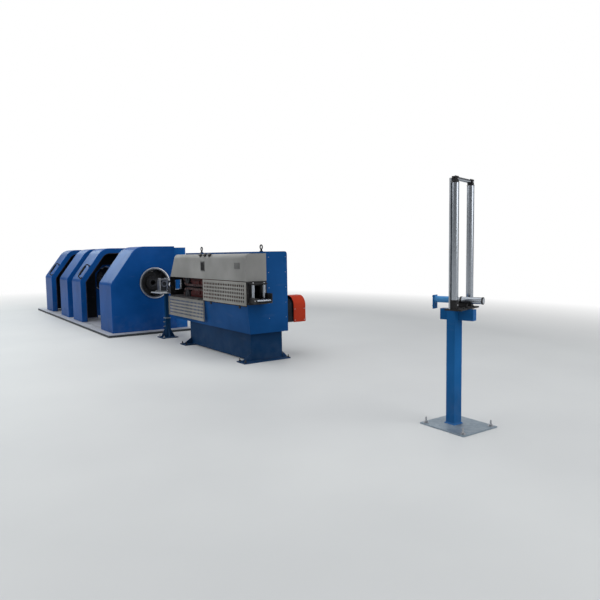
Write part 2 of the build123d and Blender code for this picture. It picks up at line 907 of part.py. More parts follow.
save("gate_brackets", Compound(children=gate_bracket(haul_inlet, -1) + gate_bracket(haul_outlet, 1)))
for end, face, way in (("inlet", haul_inlet, -1), ("outlet", haul_outlet, 1)):
    gate_x = face + way * gate_reach
    sill_x = face + way * sill_reach
    for side, name in ((-1, "front"), (1, "rear")):
        roller = bar_z(gate_x, side * gate_half, (gate_low, gate_high), roller_radius)
        pin = bar_z(gate_x, side * gate_half, pin_z, roller_pin)
        save(end + "_roller_" + name, roller + pin)
    sill = bar_y(sill_x, (-sill_half, sill_half), sill_z, roller_radius)
    pin = bar_y(sill_x, (-cheek_span, cheek_span), sill_z, roller_pin)
    save(end + "_roller_sill", sill + pin)

# Drive behind the column


def arch_block(grow, y):
    """An upright block with a round top, smaller than the cover by grow all round."""
    x = (cover_x[0] + grow, cover_x[1] - grow)
    shape = block(x, y, (cover_low, cover_low + cover_height - grow))
    tops = shape.edges().filter_by(Axis.Y).group_by(Axis.Z)[-1]
    return fillet(tops, cover_round - grow)


cover_x = (haul_outlet - cover_end_gap - cover_width, haul_outlet - cover_end_gap)
cover_low = body_bottom + cover_lift
save("motor", arch_block(motor_shrink, (column_back, motor_back)))
cover = arch_block(0, (cover_front, cover_back))
cover -= arch_block(cover_sheet, (cover_front, cover_back - cover_sheet))
motor_seat = (motor_back + seat_gap, cover_back - cover_sheet)
cover += arch_block(2 * motor_shrink, motor_seat)
save("motor_cover", cover)

eyes = []
for x in (haul_inlet + eye_inlet_inset, haul_outlet - eye_outlet_inset):
    y = column_front + eye_back
    ring_z = column_top + eye_rise + eye_ring
    eye = Pos(x, y, ring_z) * Rot(90, 0, 0) * Torus(eye_ring - eye_wire, eye_wire)
    eyes.append(eye + bar_z(x, y, (column_top, column_top + eye_rise + eye_wire), eye_shank))
save("lifting_eyes", Compound(children=eyes))

# Guide roller stand: plate and post

plate_middle = stand_x + stand_plate_ahead
plate_half_x = stand_plate_length / 2
plate_half_y = stand_plate_width / 2
plate = block(
    (plate_middle - plate_half_x, plate_middle + plate_half_x),
    (-stand_offset - plate_half_y, -stand_offset + plate_half_y),
    (0, stand_plate_thick),
)
for side_x in (-1, 1):
    for side_y in (-1, 1):
        hole_x = plate_middle + side_x * (plate_half_x - stand_hole_inset)
        hole_y = -stand_offset + side_y * (plate_half_y - stand_hole_inset)
        plate -= bar_z(hole_x, hole_y, (0, stand_plate_thick), stand_hole_radius)
save("stand_plate", plate)

stand_post_top = axis_height + stand_post_rise
half_post = stand_post_size / 2
post_x = (stand_x - half_post, stand_x + half_post)
post_y = (-stand_offset - half_post, -stand_offset + half_post)
head_place = Pos(head_x, -head_offset, 0) * Rot(0, 0, head_turn)
post = block(post_x, post_y, (stand_plate_thick, stand_post_top))
cross_z = (stand_post_top - cross_depth, stand_post_top)
cross = block((-cross_up, cross_down), (-cross_half, cross_half), cross_z)
carrier_z = axis_height + carrier_rise
end_z = (carrier_z - carrier_plate_drop, carrier_z + carrier_plate_half)
end_x = (-carrier_up - carrier_plate, -carrier_up)
tube_end = block(end_x, (-carrier_plate_half, carrier_plate_half), end_z)
save("stand_post", Compound(children=[post + head_place * cross, head_place * tube_end]))

# Guide roller head: table, upright rollers, top roller and carrier tube

post_roller_low = axis_height + post_roller_rise
table_z = (stand_post_top, stand_post_top + table_thick)
table = block((-table_width / 2, table_width / 2), (-table_length / 2, table_length / 2), table_z)
saddle_z = (table_z[1], carrier_z - carrier_radius - seat_gap)
table += block((-saddle_length / 2, saddle_length / 2), (-saddle_half, saddle_half), saddle_z)
block_z = (table_z[1], post_roller_low - cap_gap)
for side in (-1, 1):
    middle = side * gate_spread
    foot_block = block((-pin_block, pin_block), (middle - pin_block, middle + pin_block), block_z)
    table += foot_block - bar_z(0, middle, block_z, post_roller_pin + shaft_play)
save("roller_table", head_place * table)

roller_top = post_roller_low + post_roller_length
cap_z = (roller_top + cap_gap, roller_top + cap_gap + cap_high)
top_z = cap_z[1] - top_roller_drop
pin_top = cap_z[0] + cap_pin_depth
caps = []
for side, name in ((-1, "front"), (1, "rear")):
    middle = side * gate_spread
    roller = bar_z(0, middle, (post_roller_low, roller_top), post_roller_radius)
    roller += bar_z(0, middle, (block_z[0], post_roller_low), post_roller_pin)
    roller += bar_z(0, middle, (roller_top, pin_top - seat_gap), post_roller_pin)
    save("stand_roller_" + name, head_place * roller)
    cap_y = (middle - cap_half, middle + cap_half)
    cap = block((-cap_half, cap_half), cap_y, cap_z)
    cap -= bar_z(0, middle, (cap_z[0], pin_top), post_roller_pin + shaft_play)
    cap -= bar_y(0, cap_y, top_z, top_roller_pin + shaft_play)
    caps.append(head_place * cap)
save("roller_caps", Compound(children=caps))

top_half = gate_spread - cap_half - cap_gap
top_roller = bar_y(0, (-top_half, top_half), top_z, top_roller_radius)
top_roller += bar_y(0, (-gate_spread, gate_spread), top_z, top_roller_pin)
save("stand_roller_top", head_place * top_roller)

tube = bar_x((-carrier_up, carrier_down), 0, carrier_z, carrier_radius)
save("carrier_tube", head_place * tube)
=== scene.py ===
"""Finishes, fastenings and small fittings of the cage cabling line, and the view of it.

Metres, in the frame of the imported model: X runs downstream along the cable, Y is the
drive side, Z is up, and the origin is on the floor at the outlet face of head 1.
"""
import math

import bmesh
import bpy
from mathutils import Matrix, Vector


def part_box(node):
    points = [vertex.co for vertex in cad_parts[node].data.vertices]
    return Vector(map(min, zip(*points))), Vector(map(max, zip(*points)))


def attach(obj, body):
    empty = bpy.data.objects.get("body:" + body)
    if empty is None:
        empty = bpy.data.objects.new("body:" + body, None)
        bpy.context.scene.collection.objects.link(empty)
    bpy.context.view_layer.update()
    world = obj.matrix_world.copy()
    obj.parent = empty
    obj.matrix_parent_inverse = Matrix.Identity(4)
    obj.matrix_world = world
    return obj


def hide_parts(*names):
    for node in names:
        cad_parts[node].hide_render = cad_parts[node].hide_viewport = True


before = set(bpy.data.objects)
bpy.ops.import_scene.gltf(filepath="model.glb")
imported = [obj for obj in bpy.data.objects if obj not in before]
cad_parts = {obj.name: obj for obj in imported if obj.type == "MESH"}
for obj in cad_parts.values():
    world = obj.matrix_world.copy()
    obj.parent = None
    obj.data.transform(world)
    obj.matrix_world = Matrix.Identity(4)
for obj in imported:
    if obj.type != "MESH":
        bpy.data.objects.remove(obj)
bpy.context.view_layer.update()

AXIS_HEIGHT = 1.0
FRAME_BODY = "line_frame"
SHARP_ANGLE = math.radians(35)
SLAT_TILT = math.radians(22)
UP = Vector((0, 0, 1))
DOWNSTREAM = Vector((1, 0, 0))
UPSTREAM = Vector((-1, 0, 0))
FRONT = Vector((0, -1, 0))
BACK = Vector((0, 1, 0))


# Shader helpers


def tint(red, green, blue):
    """A display colour, 0 to 255 a channel, as a linear shader colour."""
    channels = []
    for value in (red, green, blue):
        part = value / 255
        channels.append(part / 12.92 if part <= 0.04045 else ((part + 0.055) / 1.055) ** 2.4)
    return (*channels, 1.0)


def darker(colour, share):
    """The colour with this share of its brightness."""
    return (*(share * part for part in colour[:3]), 1.0)


class Socket:
    """One output of a shader's nodes. Arithmetic on it adds Math nodes."""

    def __init__(self, nodes, output):
        self.nodes = nodes
        self.output = output

    def __add__(self, other):
        return self.nodes.math("ADD", self, other)

    def __sub__(self, other):
        return self.nodes.math("SUBTRACT", self, other)

    def __rsub__(self, other):
        return self.nodes.math("SUBTRACT", other, self)

    def __mul__(self, other):
        return self.nodes.math("MULTIPLY", self, other)

    __radd__ = __add__
    __rmul__ = __mul__


class Nodes:
    """The nodes of one finish or of the world."""

    def __init__(self, tree):
        self.tree = tree

    def node(self, kind, settings=None, sockets=None, out=0):
        """A node of this kind, with its settings and then its sockets, as one of its outputs."""
        node = self.tree.nodes.new("ShaderNode" + kind)
        for name, value in (settings or {}).items():
            setattr(node, name, value)
        for name, value in (sockets or {}).items():
            if isinstance(value, Socket):
                self.tree.links.new(value.output, node.inputs[name])
            else:
                node.inputs[name].default_value = value
        return Socket(self, node.outputs[out])

    def math(self, operation, first, second):
        return self.node("Math", {"operation": operation}, {0: first, 1: second})

    def fade(self, value, low, high, start=0.0, end=1.0):
        """start where value is low, end where it is high, and a ramp between."""
        limits = {1: low, 2: high, 3: start, 4: end}
        return self.node("MapRange", {"clamp": True}, {0: value, **limits})

    def ray(self, kind):
        """One where the point is met by this kind of ray."""
        return self.node("LightPath", out=f"Is {kind} Ray")


class Finish(Nodes):
    """A material with one Principled shader, varied over the object's own coordinates."""

    def __init__(self, name, slot, **fixed):
        self.material = bpy.data.materials.new(name)
        self.material.use_nodes = True
        self.slot = slot
        super().__init__(self.material.node_tree)
        self.shader = self.tree.nodes["Principled BSDF"]
        for socket, value in fixed.items():
            self.shader.inputs[socket.replace("_", " ")].default_value = value
        self.place = self.node("TexCoord", out="Object")

    def feed(self, **sources):
        """Links what varies to the shader."""
        for name, source in sources.items():
            self.tree.links.new(source.output, self.shader.inputs[name.replace("_", " ")])
        return self

    def noise(self, scale, detail=3.0, stretch=(1, 1, 1)):
        place = self.node("Mapping", None, {"Vector": self.place, "Scale": stretch})
        return self.node("TexNoise", None, {"Vector": place, "Scale": scale, "Detail": detail})

    def blend(self, factor, first, second):
        """A colour between two colours."""
        return self.node("Mix", {"data_type": "RGBA"}, {0: factor, 6: first, 7: second}, out=2)

    def height(self):
        """How high a point is above the floor at rest."""
        return self.node("SeparateXYZ", None, {0: self.place}, out=2)

    def bump(self, relief, distance, strength=1.0):
        sockets = {"Height": relief, "Distance": distance, "Strength": strength}
        return self.node("Bump", None, sockets, out="Normal")


# Finishes


def enamel(name, slot, colour, gloss=0.3, coat=0.03, specular=0.02, dust=0.1):
    """Sprayed enamel: a broad cloudiness, faint waves in the sheet and dust towards the floor."""
    finish = Finish(name, slot, Coat_Roughness=0.12, Specular_IOR_Level=specular)
    cloud = finish.noise(1.3, 4.0)
    grain = finish.noise(55.0, 4.0)
    fine = finish.noise(9.0, 6.0)
    deep = darker(colour, 0.80)
    pale = tuple(min(1.0, 1.12 * part + 0.004) for part in colour[:3]) + (1.0,)
    shade = finish.blend(finish.fade(cloud, 0.35, 0.68), deep, pale)
    low = finish.fade(finish.height(), 0.03, 0.42, 1.0, 0.0)
    dusting = low * finish.fade(fine, 0.35, 0.75) * dust
    scuff = finish.fade(finish.noise(3.2, 8.0, (1, 1, 3.5)), 0.62, 0.74)
    shade = finish.blend(dusting + scuff * 0.035, shade, tint(150, 152, 152))
    rough = gloss + grain * 0.08 + scuff * 0.12 + dusting * 0.5
    coat_weight = coat - dusting * coat
    relief = finish.noise(2.1, 2.0) + grain * 0.012
    return finish.feed(
        Base_Color=shade,
        Roughness=rough,
        Coat_Weight=coat_weight,
        Normal=finish.bump(relief, 0.006),
    )


def steel(name, slot, colour, roughness, stretch=(1, 1, 1), scale=60.0, relief=0.0004, vary=1.0):
    """Bare metal: a grain along its working direction and a faint unevenness of tone."""
    finish = Finish(name, slot)
    grain = finish.noise(scale, 5.0, stretch)
    cloud = finish.noise(3.5, 4.0)
    deep = darker(colour, 1 - 0.25 * vary)
    shade = finish.blend(finish.fade(cloud, 0.3, 0.7), deep, colour)
    flecks = finish.fade(grain, 0.35, 0.8, 0.0, 0.35 * vary)
    shade = finish.blend(flecks, shade, tint(235, 236, 238))
    worn = finish.fade(finish.noise(14.0, 6.0), 0.55, 0.72)
    return finish.feed(
        Base_Color=shade,
        Metallic=1.0 - worn * 0.12 * vary,
        Roughness=roughness + grain * 0.14 * vary + worn * 0.1 * vary,
        Normal=finish.bump(grain, relief),
    )


def coated(
    name, slot, colour, roughness=0.5, relief=0.0006, scale=120.0, worn_tone=(0.3, 0.3, 0.3, 1)
):
    """A thin matt coating on iron, rubbed a little paler where it is handled."""
    finish = Finish(name, slot, Specular_IOR_Level=0.4)
    grain = finish.noise(scale, 4.0)
    cloud = finish.noise(4.0, 5.0)
    rubbed = finish.fade(finish.noise(11.0, 8.0), 0.60, 0.75)
    deep = darker(colour, 0.72)
    shade = finish.blend(finish.fade(cloud, 0.35, 0.65), deep, colour)
    shade = finish.blend(rubbed * 0.12, shade, worn_tone)
    return finish.feed(
        Base_Color=shade,
        Roughness=roughness + grain * 0.15 - rubbed * 0.12,
        Normal=finish.bump(grain, relief),
    )


def rubber(name, slot, colour):
    """Worn rubber: fine pores, and a paler bloom in patches."""
    finish = Finish(name, slot, Specular_IOR_Level=0.35)
    pores = finish.noise(160.0, 3.0)
    bloom = finish.fade(finish.noise(7.0, 7.0), 0.45, 0.72)
    shade = finish.blend(bloom * 0.35, colour, tint(92, 84, 84))
    return finish.feed(
        Base_Color=shade,
        Roughness=0.62 + pores * 0.2 - bloom * 0.1,
        Normal=finish.bump(pores, 0.0009),
    )


def plate_metal(name, slot, colour, roughness=0.4):
    """Rolled plate with its zinc bloom: soft spangles and some dull patches."""
    finish = Finish(name, slot)
    spangle = finish.node("TexVoronoi", None, {"Vector": finish.place, "Scale": 34.0}, out="Color")
    tone = finish.node("SeparateXYZ", None, {0: spangle}, out=0)
    dull = finish.fade(finish.noise(5.0, 6.0), 0.4, 0.7)
    deep = darker(colour, 0.82)
    shade = finish.blend(tone * 0.5 + dull * 0.4, colour, deep)
    return finish.feed(
        Base_Color=shade,
        Metallic=0.85 - dull * 0.35,
        Roughness=roughness + tone * 0.12 + dull * 0.14,
        Normal=finish.bump(dull, 0.0008),
    )


def tread(name, slot, colour):
    """The deck: rolled sheet, walked on, with fine bright scratches both ways."""
    finish = Finish(name, slot, Specular_IOR_Level=0.45)
    along = finish.noise(26.0, 5.0, (0.12, 1, 1))
    across = finish.noise(30.0, 5.0, (1, 0.15, 1))
    soil = finish.fade(finish.noise(1.8, 7.0), 0.4, 0.68)
    dark = darker(colour, 0.62)
    shade = finish.blend(soil * 0.6, colour, dark)
    scratch = finish.fade(along, 0.58, 0.7) + finish.fade(across, 0.6, 0.72)
    shade = finish.blend(scratch * 0.12, shade, tint(225, 226, 226))
    return finish.feed(
        Base_Color=shade,
        Metallic=0.25 + scratch * 0.2,
        Roughness=0.5 + soil * 0.15 - scratch * 0.08,
        Normal=finish.bump(along + across, 0.0005),
    )


HOUSING_BLUE = tint(13, 72, 138)
HAUL_BLUE = tint(14, 68, 122)
POST_BLUE = tint(22, 86, 142)

finishes = {
    "housing": enamel("housing_enamel", "housing_blue", HOUSING_BLUE),
    # Rear housings: the housings' blue made paler as painted sheen.
    "rear": enamel("rear_enamel_painted_sheen", "rear_blue", tint(17, 84, 152)),
    "haul": enamel("haul_enamel", "hauloff_blue", HAUL_BLUE),
    # Pedestal and feet: the haul-off blue darkened as painted shade.
    "base": enamel("pedestal_enamel_painted_shade", "hauloff_blue", tint(12, 50, 86), dust=0.06),
    "post": enamel("post_enamel", "post_blue", POST_BLUE),
    "bar": coated("stay_bar_satin", "roller_steel", tint(170, 175, 181), 0.4),
    # Carrier sleeve: the post's blue paint, made paler as painted sheen.
    "sleeve": enamel("sleeve_enamel_painted_sheen", "post_blue", tint(74, 136, 190), gloss=0.25, dust=0),
    "die_post": enamel("die_post_enamel", "post_blue", tint(15, 56, 92)),
    "hood": enamel("hood_enamel", "hood_grey", tint(136, 136, 134), gloss=0.42, coat=0.05, dust=0),
    "guard": enamel("guard_enamel", "guard_grey", tint(140, 139, 135), gloss=0.45, coat=0.03, dust=0),
    "cover": enamel("cover_enamel", "cover_red", tint(172, 54, 32), gloss=0.35, coat=0.1),
    "plinth": coated("plinth_coating", "plinth", tint(52, 58, 64), 0.6),
    "deck": tread("deck_sheet", "deck", tint(170, 174, 184)),
    # The outlet ring as two copies of one steel: a darker body as painted shade, and a bright lip as painted
    # highlight.
    "ring": steel("ring_turned_painted_shade", "ring_bright", tint(96, 100, 108), 0.34, relief=0.0, vary=0.3),
    "lip": steel("ring_lip_painted_highlight", "ring_bright", tint(226, 228, 232), 0.3, relief=0.0, vary=0.2),
    "rail": steel("rail_ground", "rail_steel", tint(188, 190, 194), 0.3, (0.05, 1, 1), 140.0),
    "handle": coated("handle_coating", "handle_black", tint(13, 15, 20), 0.42),
    "cage": coated("cage_casting", "cage_grey", tint(15, 17, 22), 0.5, 0.0012, 90.0),
    "bobbin": coated("bobbin_coating", "bobbin_grey", tint(84, 86, 88), 0.45),
    "shaft": steel("shaft_turned", "shaft_steel", tint(170, 172, 176), 0.28, (9, 1, 1), 30.0),
    "iron": coated("frame_casting", "frame_grey", tint(40, 43, 48), 0.55, 0.0015, 80.0),
    "table": plate_metal("table_plate", "plate_bright", tint(206, 210, 212), 0.38),
    "die": steel("die_milled", "die_bright", tint(140, 143, 147), 0.34, (1, 0.1, 1), 110.0),
    "track": rubber("track_rubber", "track_black", tint(62, 40, 39)),
    "press": enamel("press_enamel", "press_red", tint(70, 27, 26), gloss=0.45, coat=0.08, dust=0),
    "black": coated("black_coating", "black_steel", tint(13, 13, 16), 0.5),
    "roller": steel("roller_ground", "roller_steel", tint(152, 158, 166), 0.24, relief=0.0, vary=0.12),
    "motor": coated("motor_coating", "motor_grey", tint(38, 44, 54), 0.5, 0.001, 90.0),
    "zinc": plate_metal("base_zinc", "base_metal", tint(146, 160, 172), 0.42),
    # Near-black sheet: painted shade inside the housings and the haul-off, and the dark colour of the joints
    # and slots.
    "shade_and_joints": coated("shade_sheet_and_joint_black", "handle_black", tint(17, 21, 32), 0.8, 0.004, 45.0, (0.03, 0.03, 0.04, 1)),
    "seal": rubber("edge_seal", "handle_black", tint(26, 26, 28)),
    "grip": coated("grip_plastic", "black_steel", tint(12, 12, 14), 0.4),
    "blank": coated("blank_plate", "hood_grey", tint(92, 92, 91), 0.4, worn_tone=(0.5, 0.5, 0.5, 1)),
    "strand": steel("wound_strand", "shaft_steel", tint(150, 152, 154), 0.34, (1, 1, 1), 180.0),
    "bolt": steel("bolt_zinc", "base_metal", tint(178, 180, 184), 0.34, (1, 1, 1), 200.0),
    "black_bolt": coated("bolt_black", "black_steel", tint(34, 35, 38), 0.45),
}

NODE_FINISH = (
    ("head_plinth", "plinth"),
    ("head_deck", "deck"),
    ("fixed_housing", "housing"),
    ("sliding_housing", "housing"),
    ("rear_housing", "rear"),
    ("outlet_ring", "ring"),
    ("hood_rails", "rail"),
    ("pull_handle", "handle"),
    ("cage", "cage"),
    ("bobbins", "bobbin"),
    ("rotor_shaft", "shaft"),
    ("bearing_stand", "iron"),
    ("die_post", "die_post"),
    ("die_table", "table"),
    ("die_block", "die"),
    ("guide_frame", "die"),
    ("pedestal", "base"),
    ("foot", "base"),
    ("haul_hood", "hood"),
    ("haul", "haul"),
    ("track_wheels", "iron"),
    ("track_beam", "press"),
    ("track", "track"),
    ("guard_hinges", "black"),
    ("guard", "guard"),
    ("end_plates", "black"),
    ("gate_brackets", "black"),
    ("inlet_roller", "roller"),
    ("outlet_roller", "roller"),
    ("motor_cover", "cover"),
    ("motor", "motor"),
    ("lifting_eyes", "black"),
    ("stand_plate", "zinc"),
    ("stand_post", "post"),
    ("stand_roller", "roller"),
    ("roller_table", "black"),
    ("roller_caps", "black"),
    ("carrier_tube", "roller"),
)

for name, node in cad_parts.items():
    key = next(key for start, key in NODE_FINISH if name.startswith(start))
    node.data.materials.clear()
    node.data.materials.append(finishes[key].material)


# Mesh helpers


def drum(bm, place, low, high, radius, segments=24, tip=None):
    """A round body along the Z of place, from low to high, hexagonal with six segments."""
    return bmesh.ops.create_cone(
        bm,
        cap_ends=True,
        segments=segments,
        radius1=radius,
        radius2=radius if tip is None else tip,
        depth=high - low,
        matrix=place @ Matrix.Translation((0, 0, (low + high) / 2)),
    )["verts"]


def slab(bm, low, high, edge=0.0, place=Matrix()):
    """A box between two corners, with its edges rounded off."""
    low, high = Vector(low), Vector(high)
    size = Matrix.Diagonal((*(high - low), 1))
    made = bmesh.ops.create_cube(bm, size=1, matrix=Matrix.Translation((low + high) / 2) @ size)
    verts = made["verts"]
    if edge:
        edges = list({e for v in verts for e in v.link_edges})
        bevelled = bmesh.ops.bevel(
            bm, geom=edges, offset=edge, segments=2, profile=0.5, affect="EDGES", material=-1
        )
        verts = list({v for face in bevelled["faces"] for v in face.verts})
    bmesh.ops.transform(bm, matrix=place, verts=verts)
    return verts


def facing(at, out):
    """A place whose Z points the way of out."""
    return Matrix.Translation(at) @ Vector(out).to_track_quat("Z", "Y").to_matrix().to_4x4()


def hex_bolt(bm, at, out, across, stud=0.0):
    """A washer and a hexagon head, and for an anchor the end of its stud."""
    place = facing(at, out)
    drum(bm, place, 0, 0.12 * across, 0.95 * across, 20)
    drum(bm, place, 0.12 * across, 0.62 * across, 0.58 * across, 6)
    drum(bm, place, 0.62 * across, 0.72 * across, 0.56 * across, 6, 0.42 * across)
    if stud:
        drum(bm, place, 0.7 * across, stud, 0.3 * across, 12, 0.26 * across)


def cap_screw(bm, at, out, radius):
    """A round screw head with a chamfered top."""
    place = facing(at, out)
    drum(bm, place, 0, 0.8 * radius, radius, 16)
    drum(bm, place, 0.8 * radius, radius, radius, 16, 0.8 * radius)


def ring_of(centre, out, radius, count, start=0.0):
    """Points on a circle round centre, square to out."""
    place = facing(centre, out)
    turns = [start + 2 * math.pi * n / count for n in range(count)]
    return [place @ Vector((radius * math.cos(a), radius * math.sin(a), 0)) for a in turns]


def collar(bm, place, inner, outer, low, high, segments=40):
    """A turned ring along the Z of place, from a spun outline."""
    corners = [(inner, low), (outer, low), (outer, high), (inner, high)]
    verts = [bm.verts.new((x, 0, z)) for x, z in corners]
    edges = [bm.edges.new((verts[n], verts[(n + 1) % 4])) for n in range(4)]
    spun = bmesh.ops.spin(
        bm,
        geom=verts + edges,
        cent=(0, 0, 0),
        axis=(0, 0, 1),
        angle=2 * math.pi,
        steps=segments,
        use_merge=True,
        use_duplicate=False,
    )
    found = set(verts)
    for item in spun["geom_last"]:
        if isinstance(item, bmesh.types.BMVert):
            found.add(item)
    reached = set(found)
    while found:
        near = {e.other_vert(v) for v in found for e in v.link_edges} - reached
        reached |= near
        found = near
    bmesh.ops.transform(bm, matrix=place, verts=list(reached))


def join(bm, part):
    """Adds a finished part to a mesh that is being built."""
    mesh = bpy.data.meshes.new("part")
    part.to_mesh(mesh)
    part.free()
    bm.from_mesh(mesh)
    bpy.data.meshes.remove(mesh)


def put_in_scene(name, data):
    """An object of this data, in the scene."""
    made = bpy.data.objects.new(name, data)
    bpy.context.scene.collection.objects.link(made)
    return made


def piece(name, bm, finish, body=FRAME_BODY):
    """The finished mesh as an object that rides on a body and takes a finish."""
    bmesh.ops.remove_doubles(bm, verts=bm.verts, dist=1e-6)
    bmesh.ops.recalc_face_normals(bm, faces=bm.faces)
    mesh = bpy.data.meshes.new(name)
    bm.to_mesh(mesh)
    bm.free()
    mesh.shade_smooth()
    mesh.set_sharp_from_angle(angle=SHARP_ANGLE)
    mesh.materials.append(finishes[finish].material)
    made = put_in_scene(name, mesh)
    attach(made, body)
    return made


def screws(name, spots, out, radius, finish="bolt", body=FRAME_BODY):
    """Round-headed screws that all face one way."""
    bm = bmesh.new()
    for spot in spots:
        cap_screw(bm, spot, out, radius)
    piece(name, bm, finish, body)


def bolts(name, spots, out, across, finish="bolt", body=FRAME_BODY):
    """Hexagon bolts that all face one way."""
    bm = bmesh.new()
    for spot in spots:
        hex_bolt(bm, spot, out, across)
    piece(name, bm, finish, body)


def plates(name, corners, edge, finish):
    """Flat parts of the frame, each a slab between two corners."""
    bm = bmesh.new()
    for low, high in corners:
        slab(bm, low, high, edge)
    piece(name, bm, finish)


def louvres(bm, low, high, rows, way=1):
    """Pressed slats on an upright sheet that faces +Y, or -Y where way is -1."""
    pitch = (high[2] - low[2]) / rows
    slat = 0.8 * pitch
    for n in range(rows):
        proud = low[1] + way * 0.17 * slat
        middle = Vector(((low[0] + high[0]) / 2, proud, low[2] + pitch * (n + 0.5)))
        place = Matrix.Translation(middle) @ Matrix.Rotation(way * SLAT_TILT, 4, "X")
        half = (high[0] - low[0]) / 2
        slab(bm, (-half, -0.001, -slat / 2), (half, 0.001, slat / 2), 0.0005, place)


def service_door(name, x, y, z, finish, way=1):
    """A sheet door with louvres low down, two hinges and two turn latches."""
    thick = 0.004
    face = y + way * thick
    bm = bmesh.new()
    slab(bm, (x[0], min(y, face), z[0]), (x[1], max(y, face), z[1]), 0.0015)
    gap = bmesh.new()
    edge = y + way * 0.0012
    lap = 0.009
    low = (x[0] - lap, min(y, edge), z[0] - lap)
    high = (x[1] + lap, max(y, edge), z[1] + lap)
    slab(gap, low, high, 0.0004)
    piece(name + "_seal", gap, "seal")
    low = (x[0] + 0.25 * (x[1] - x[0]), face, z[0] + 0.10 * (z[1] - z[0]))
    high = (x[1] - 0.25 * (x[1] - x[0]), face, z[0] + 0.34 * (z[1] - z[0]))
    louvres(bm, low, high, 8, way)
    piece(name, bm, finish)
    bm = bmesh.new()
    out = (0, way, 0)
    for part in (0.18, 0.82):
        height = z[0] + part * (z[1] - z[0])
        place = facing((x[1] - 0.045, face, height), out)
        drum(bm, place, 0, 0.005, 0.019, 24)
        drum(bm, place, 0.005, 0.009, 0.012, 20, 0.010)
        slab(bm, (-0.003, -0.010, 0.009), (0.003, 0.010, 0.0115), 0.001, place)
        hinge = facing((x[0] - 0.004, y + way * 0.005, height - 0.03), (0, 0, 1))
        drum(bm, hinge, 0, 0.06, 0.005, 14)
        drum(bm, hinge, -0.004, 0, 0.003, 10)
        drum(bm, hinge, 0.06, 0.064, 0.003, 10)
    piece(name + "_latches", bm, "black")


# Perforated guards of the haul-off

HOLE_RADIUS = 0.0190
HOLE_ROWS = 5
GUARD_SHEET = 0.003
GUARD_FLANGE = 0.028
GUARD_RIM = 0.004


def hole_cell(bm, width, height):
    """One cell of the perforated sheet, in the XY plane: a square with a round hole."""
    grid = bmesh.ops.create_grid(bm, x_segments=3, y_segments=3, size=0.5)["verts"]
    inside = [v for v in grid if max(abs(v.co.x), abs(v.co.y)) < 0.4]
    bmesh.ops.delete(bm, geom=inside, context="VERTS")
    bmesh.ops.scale(bm, vec=(width, height, 1), verts=bm.verts)
    square = list(bm.edges)
    circle = bmesh.ops.create_circle(bm, cap_ends=False, segments=12, radius=HOLE_RADIUS)["verts"]
    bmesh.ops.rotate(bm, cent=(0, 0, 0), matrix=Matrix.Rotation(math.pi / 4, 3, "Z"), verts=circle)
    hole = list({e for v in circle for e in v.link_edges})
    bmesh.ops.bridge_loops(bm, edges=square + hole)


def perforated_sheet(bm, low, high):
    """Rows of holes between two corners of an upright sheet that faces -Y."""
    columns = round((high[0] - low[0]) / ((high[2] - low[2]) / HOLE_ROWS))
    width = (high[0] - low[0]) / columns
    height = (high[2] - low[2]) / HOLE_ROWS
    sheet = bmesh.new()
    hole_cell(sheet, width, height)
    for steps, move in ((columns - 1, (width, 0, 0)), (HOLE_ROWS - 1, (0, height, 0))):
        bmesh.ops.spin(
            sheet,
            geom=sheet.verts[:] + sheet.edges[:] + sheet.faces[:],
            cent=(0, 0, 0),
            axis=(0, 0, 1),
            dvec=move,
            angle=0,
            steps=steps,
            use_duplicate=True,
            use_merge=False,
        )
    bmesh.ops.remove_doubles(sheet, verts=sheet.verts, dist=1e-5)
    start = Vector((low[0] + width / 2, low[1], low[2] + height / 2))
    upright = Matrix.Translation(start) @ Matrix.Rotation(math.pi / 2, 4, "X")
    bmesh.ops.transform(sheet, matrix=upright, verts=sheet.verts)
    bmesh.ops.recalc_face_normals(sheet, faces=sheet.faces)
    bmesh.ops.solidify(sheet, geom=sheet.faces[:], thickness=GUARD_SHEET)
    join(bm, sheet)


def guard(name, node, body, folded):
    """A folded tray of perforated sheet in the place of its solid."""
    low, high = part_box(node)
    if folded:
        bend = Vector((0, -hinge_y, hinge_z))
        turn = Matrix.Rotation(math.pi, 4, "X") @ Matrix.Translation(-bend)
        turn = Matrix.Translation(bend) @ turn
        corners = (turn @ low, turn @ high)
        low = Vector((low.x, min(corners[0].y, corners[1].y), min(corners[0].z, corners[1].z)))
        high = Vector((high.x, max(corners[0].y, corners[1].y), max(corners[0].z, corners[1].z)))
    bm = bmesh.new()
    inner_low = (low.x + GUARD_FLANGE, low.y + GUARD_SHEET, low.z + GUARD_FLANGE)
    inner_high = (high.x - GUARD_FLANGE, low.y + GUARD_SHEET, high.z - GUARD_FLANGE)
    perforated_sheet(bm, inner_low, inner_high)
    face = (low.y, low.y + GUARD_SHEET)
    slab(bm, (low.x, face[0], low.z), (inner_low[0], face[1], high.z))
    slab(bm, (inner_high[0], face[0], low.z), (high.x, face[1], high.z))
    slab(bm, (inner_low[0], face[0], low.z), (inner_high[0], face[1], inner_low[2]))
    slab(bm, (inner_low[0], face[0], inner_high[2]), (inner_high[0], face[1], high.z))
    depth = (low.y + GUARD_SHEET, high.y)
    slab(bm, (low.x, depth[0], low.z), (low.x + GUARD_RIM, depth[1], high.z))
    slab(bm, (high.x - GUARD_RIM, depth[0], low.z), (high.x, depth[1], high.z))
    for z in (low.z, high.z - GUARD_RIM):
        start = (low.x + GUARD_RIM, depth[0], z)
        slab(bm, start, (high.x - GUARD_RIM, depth[1], z + GUARD_RIM))
    if folded:
        bmesh.ops.transform(bm, matrix=turn, verts=bm.verts)
    made = piece(name, bm, "guard", body)
    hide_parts(node)


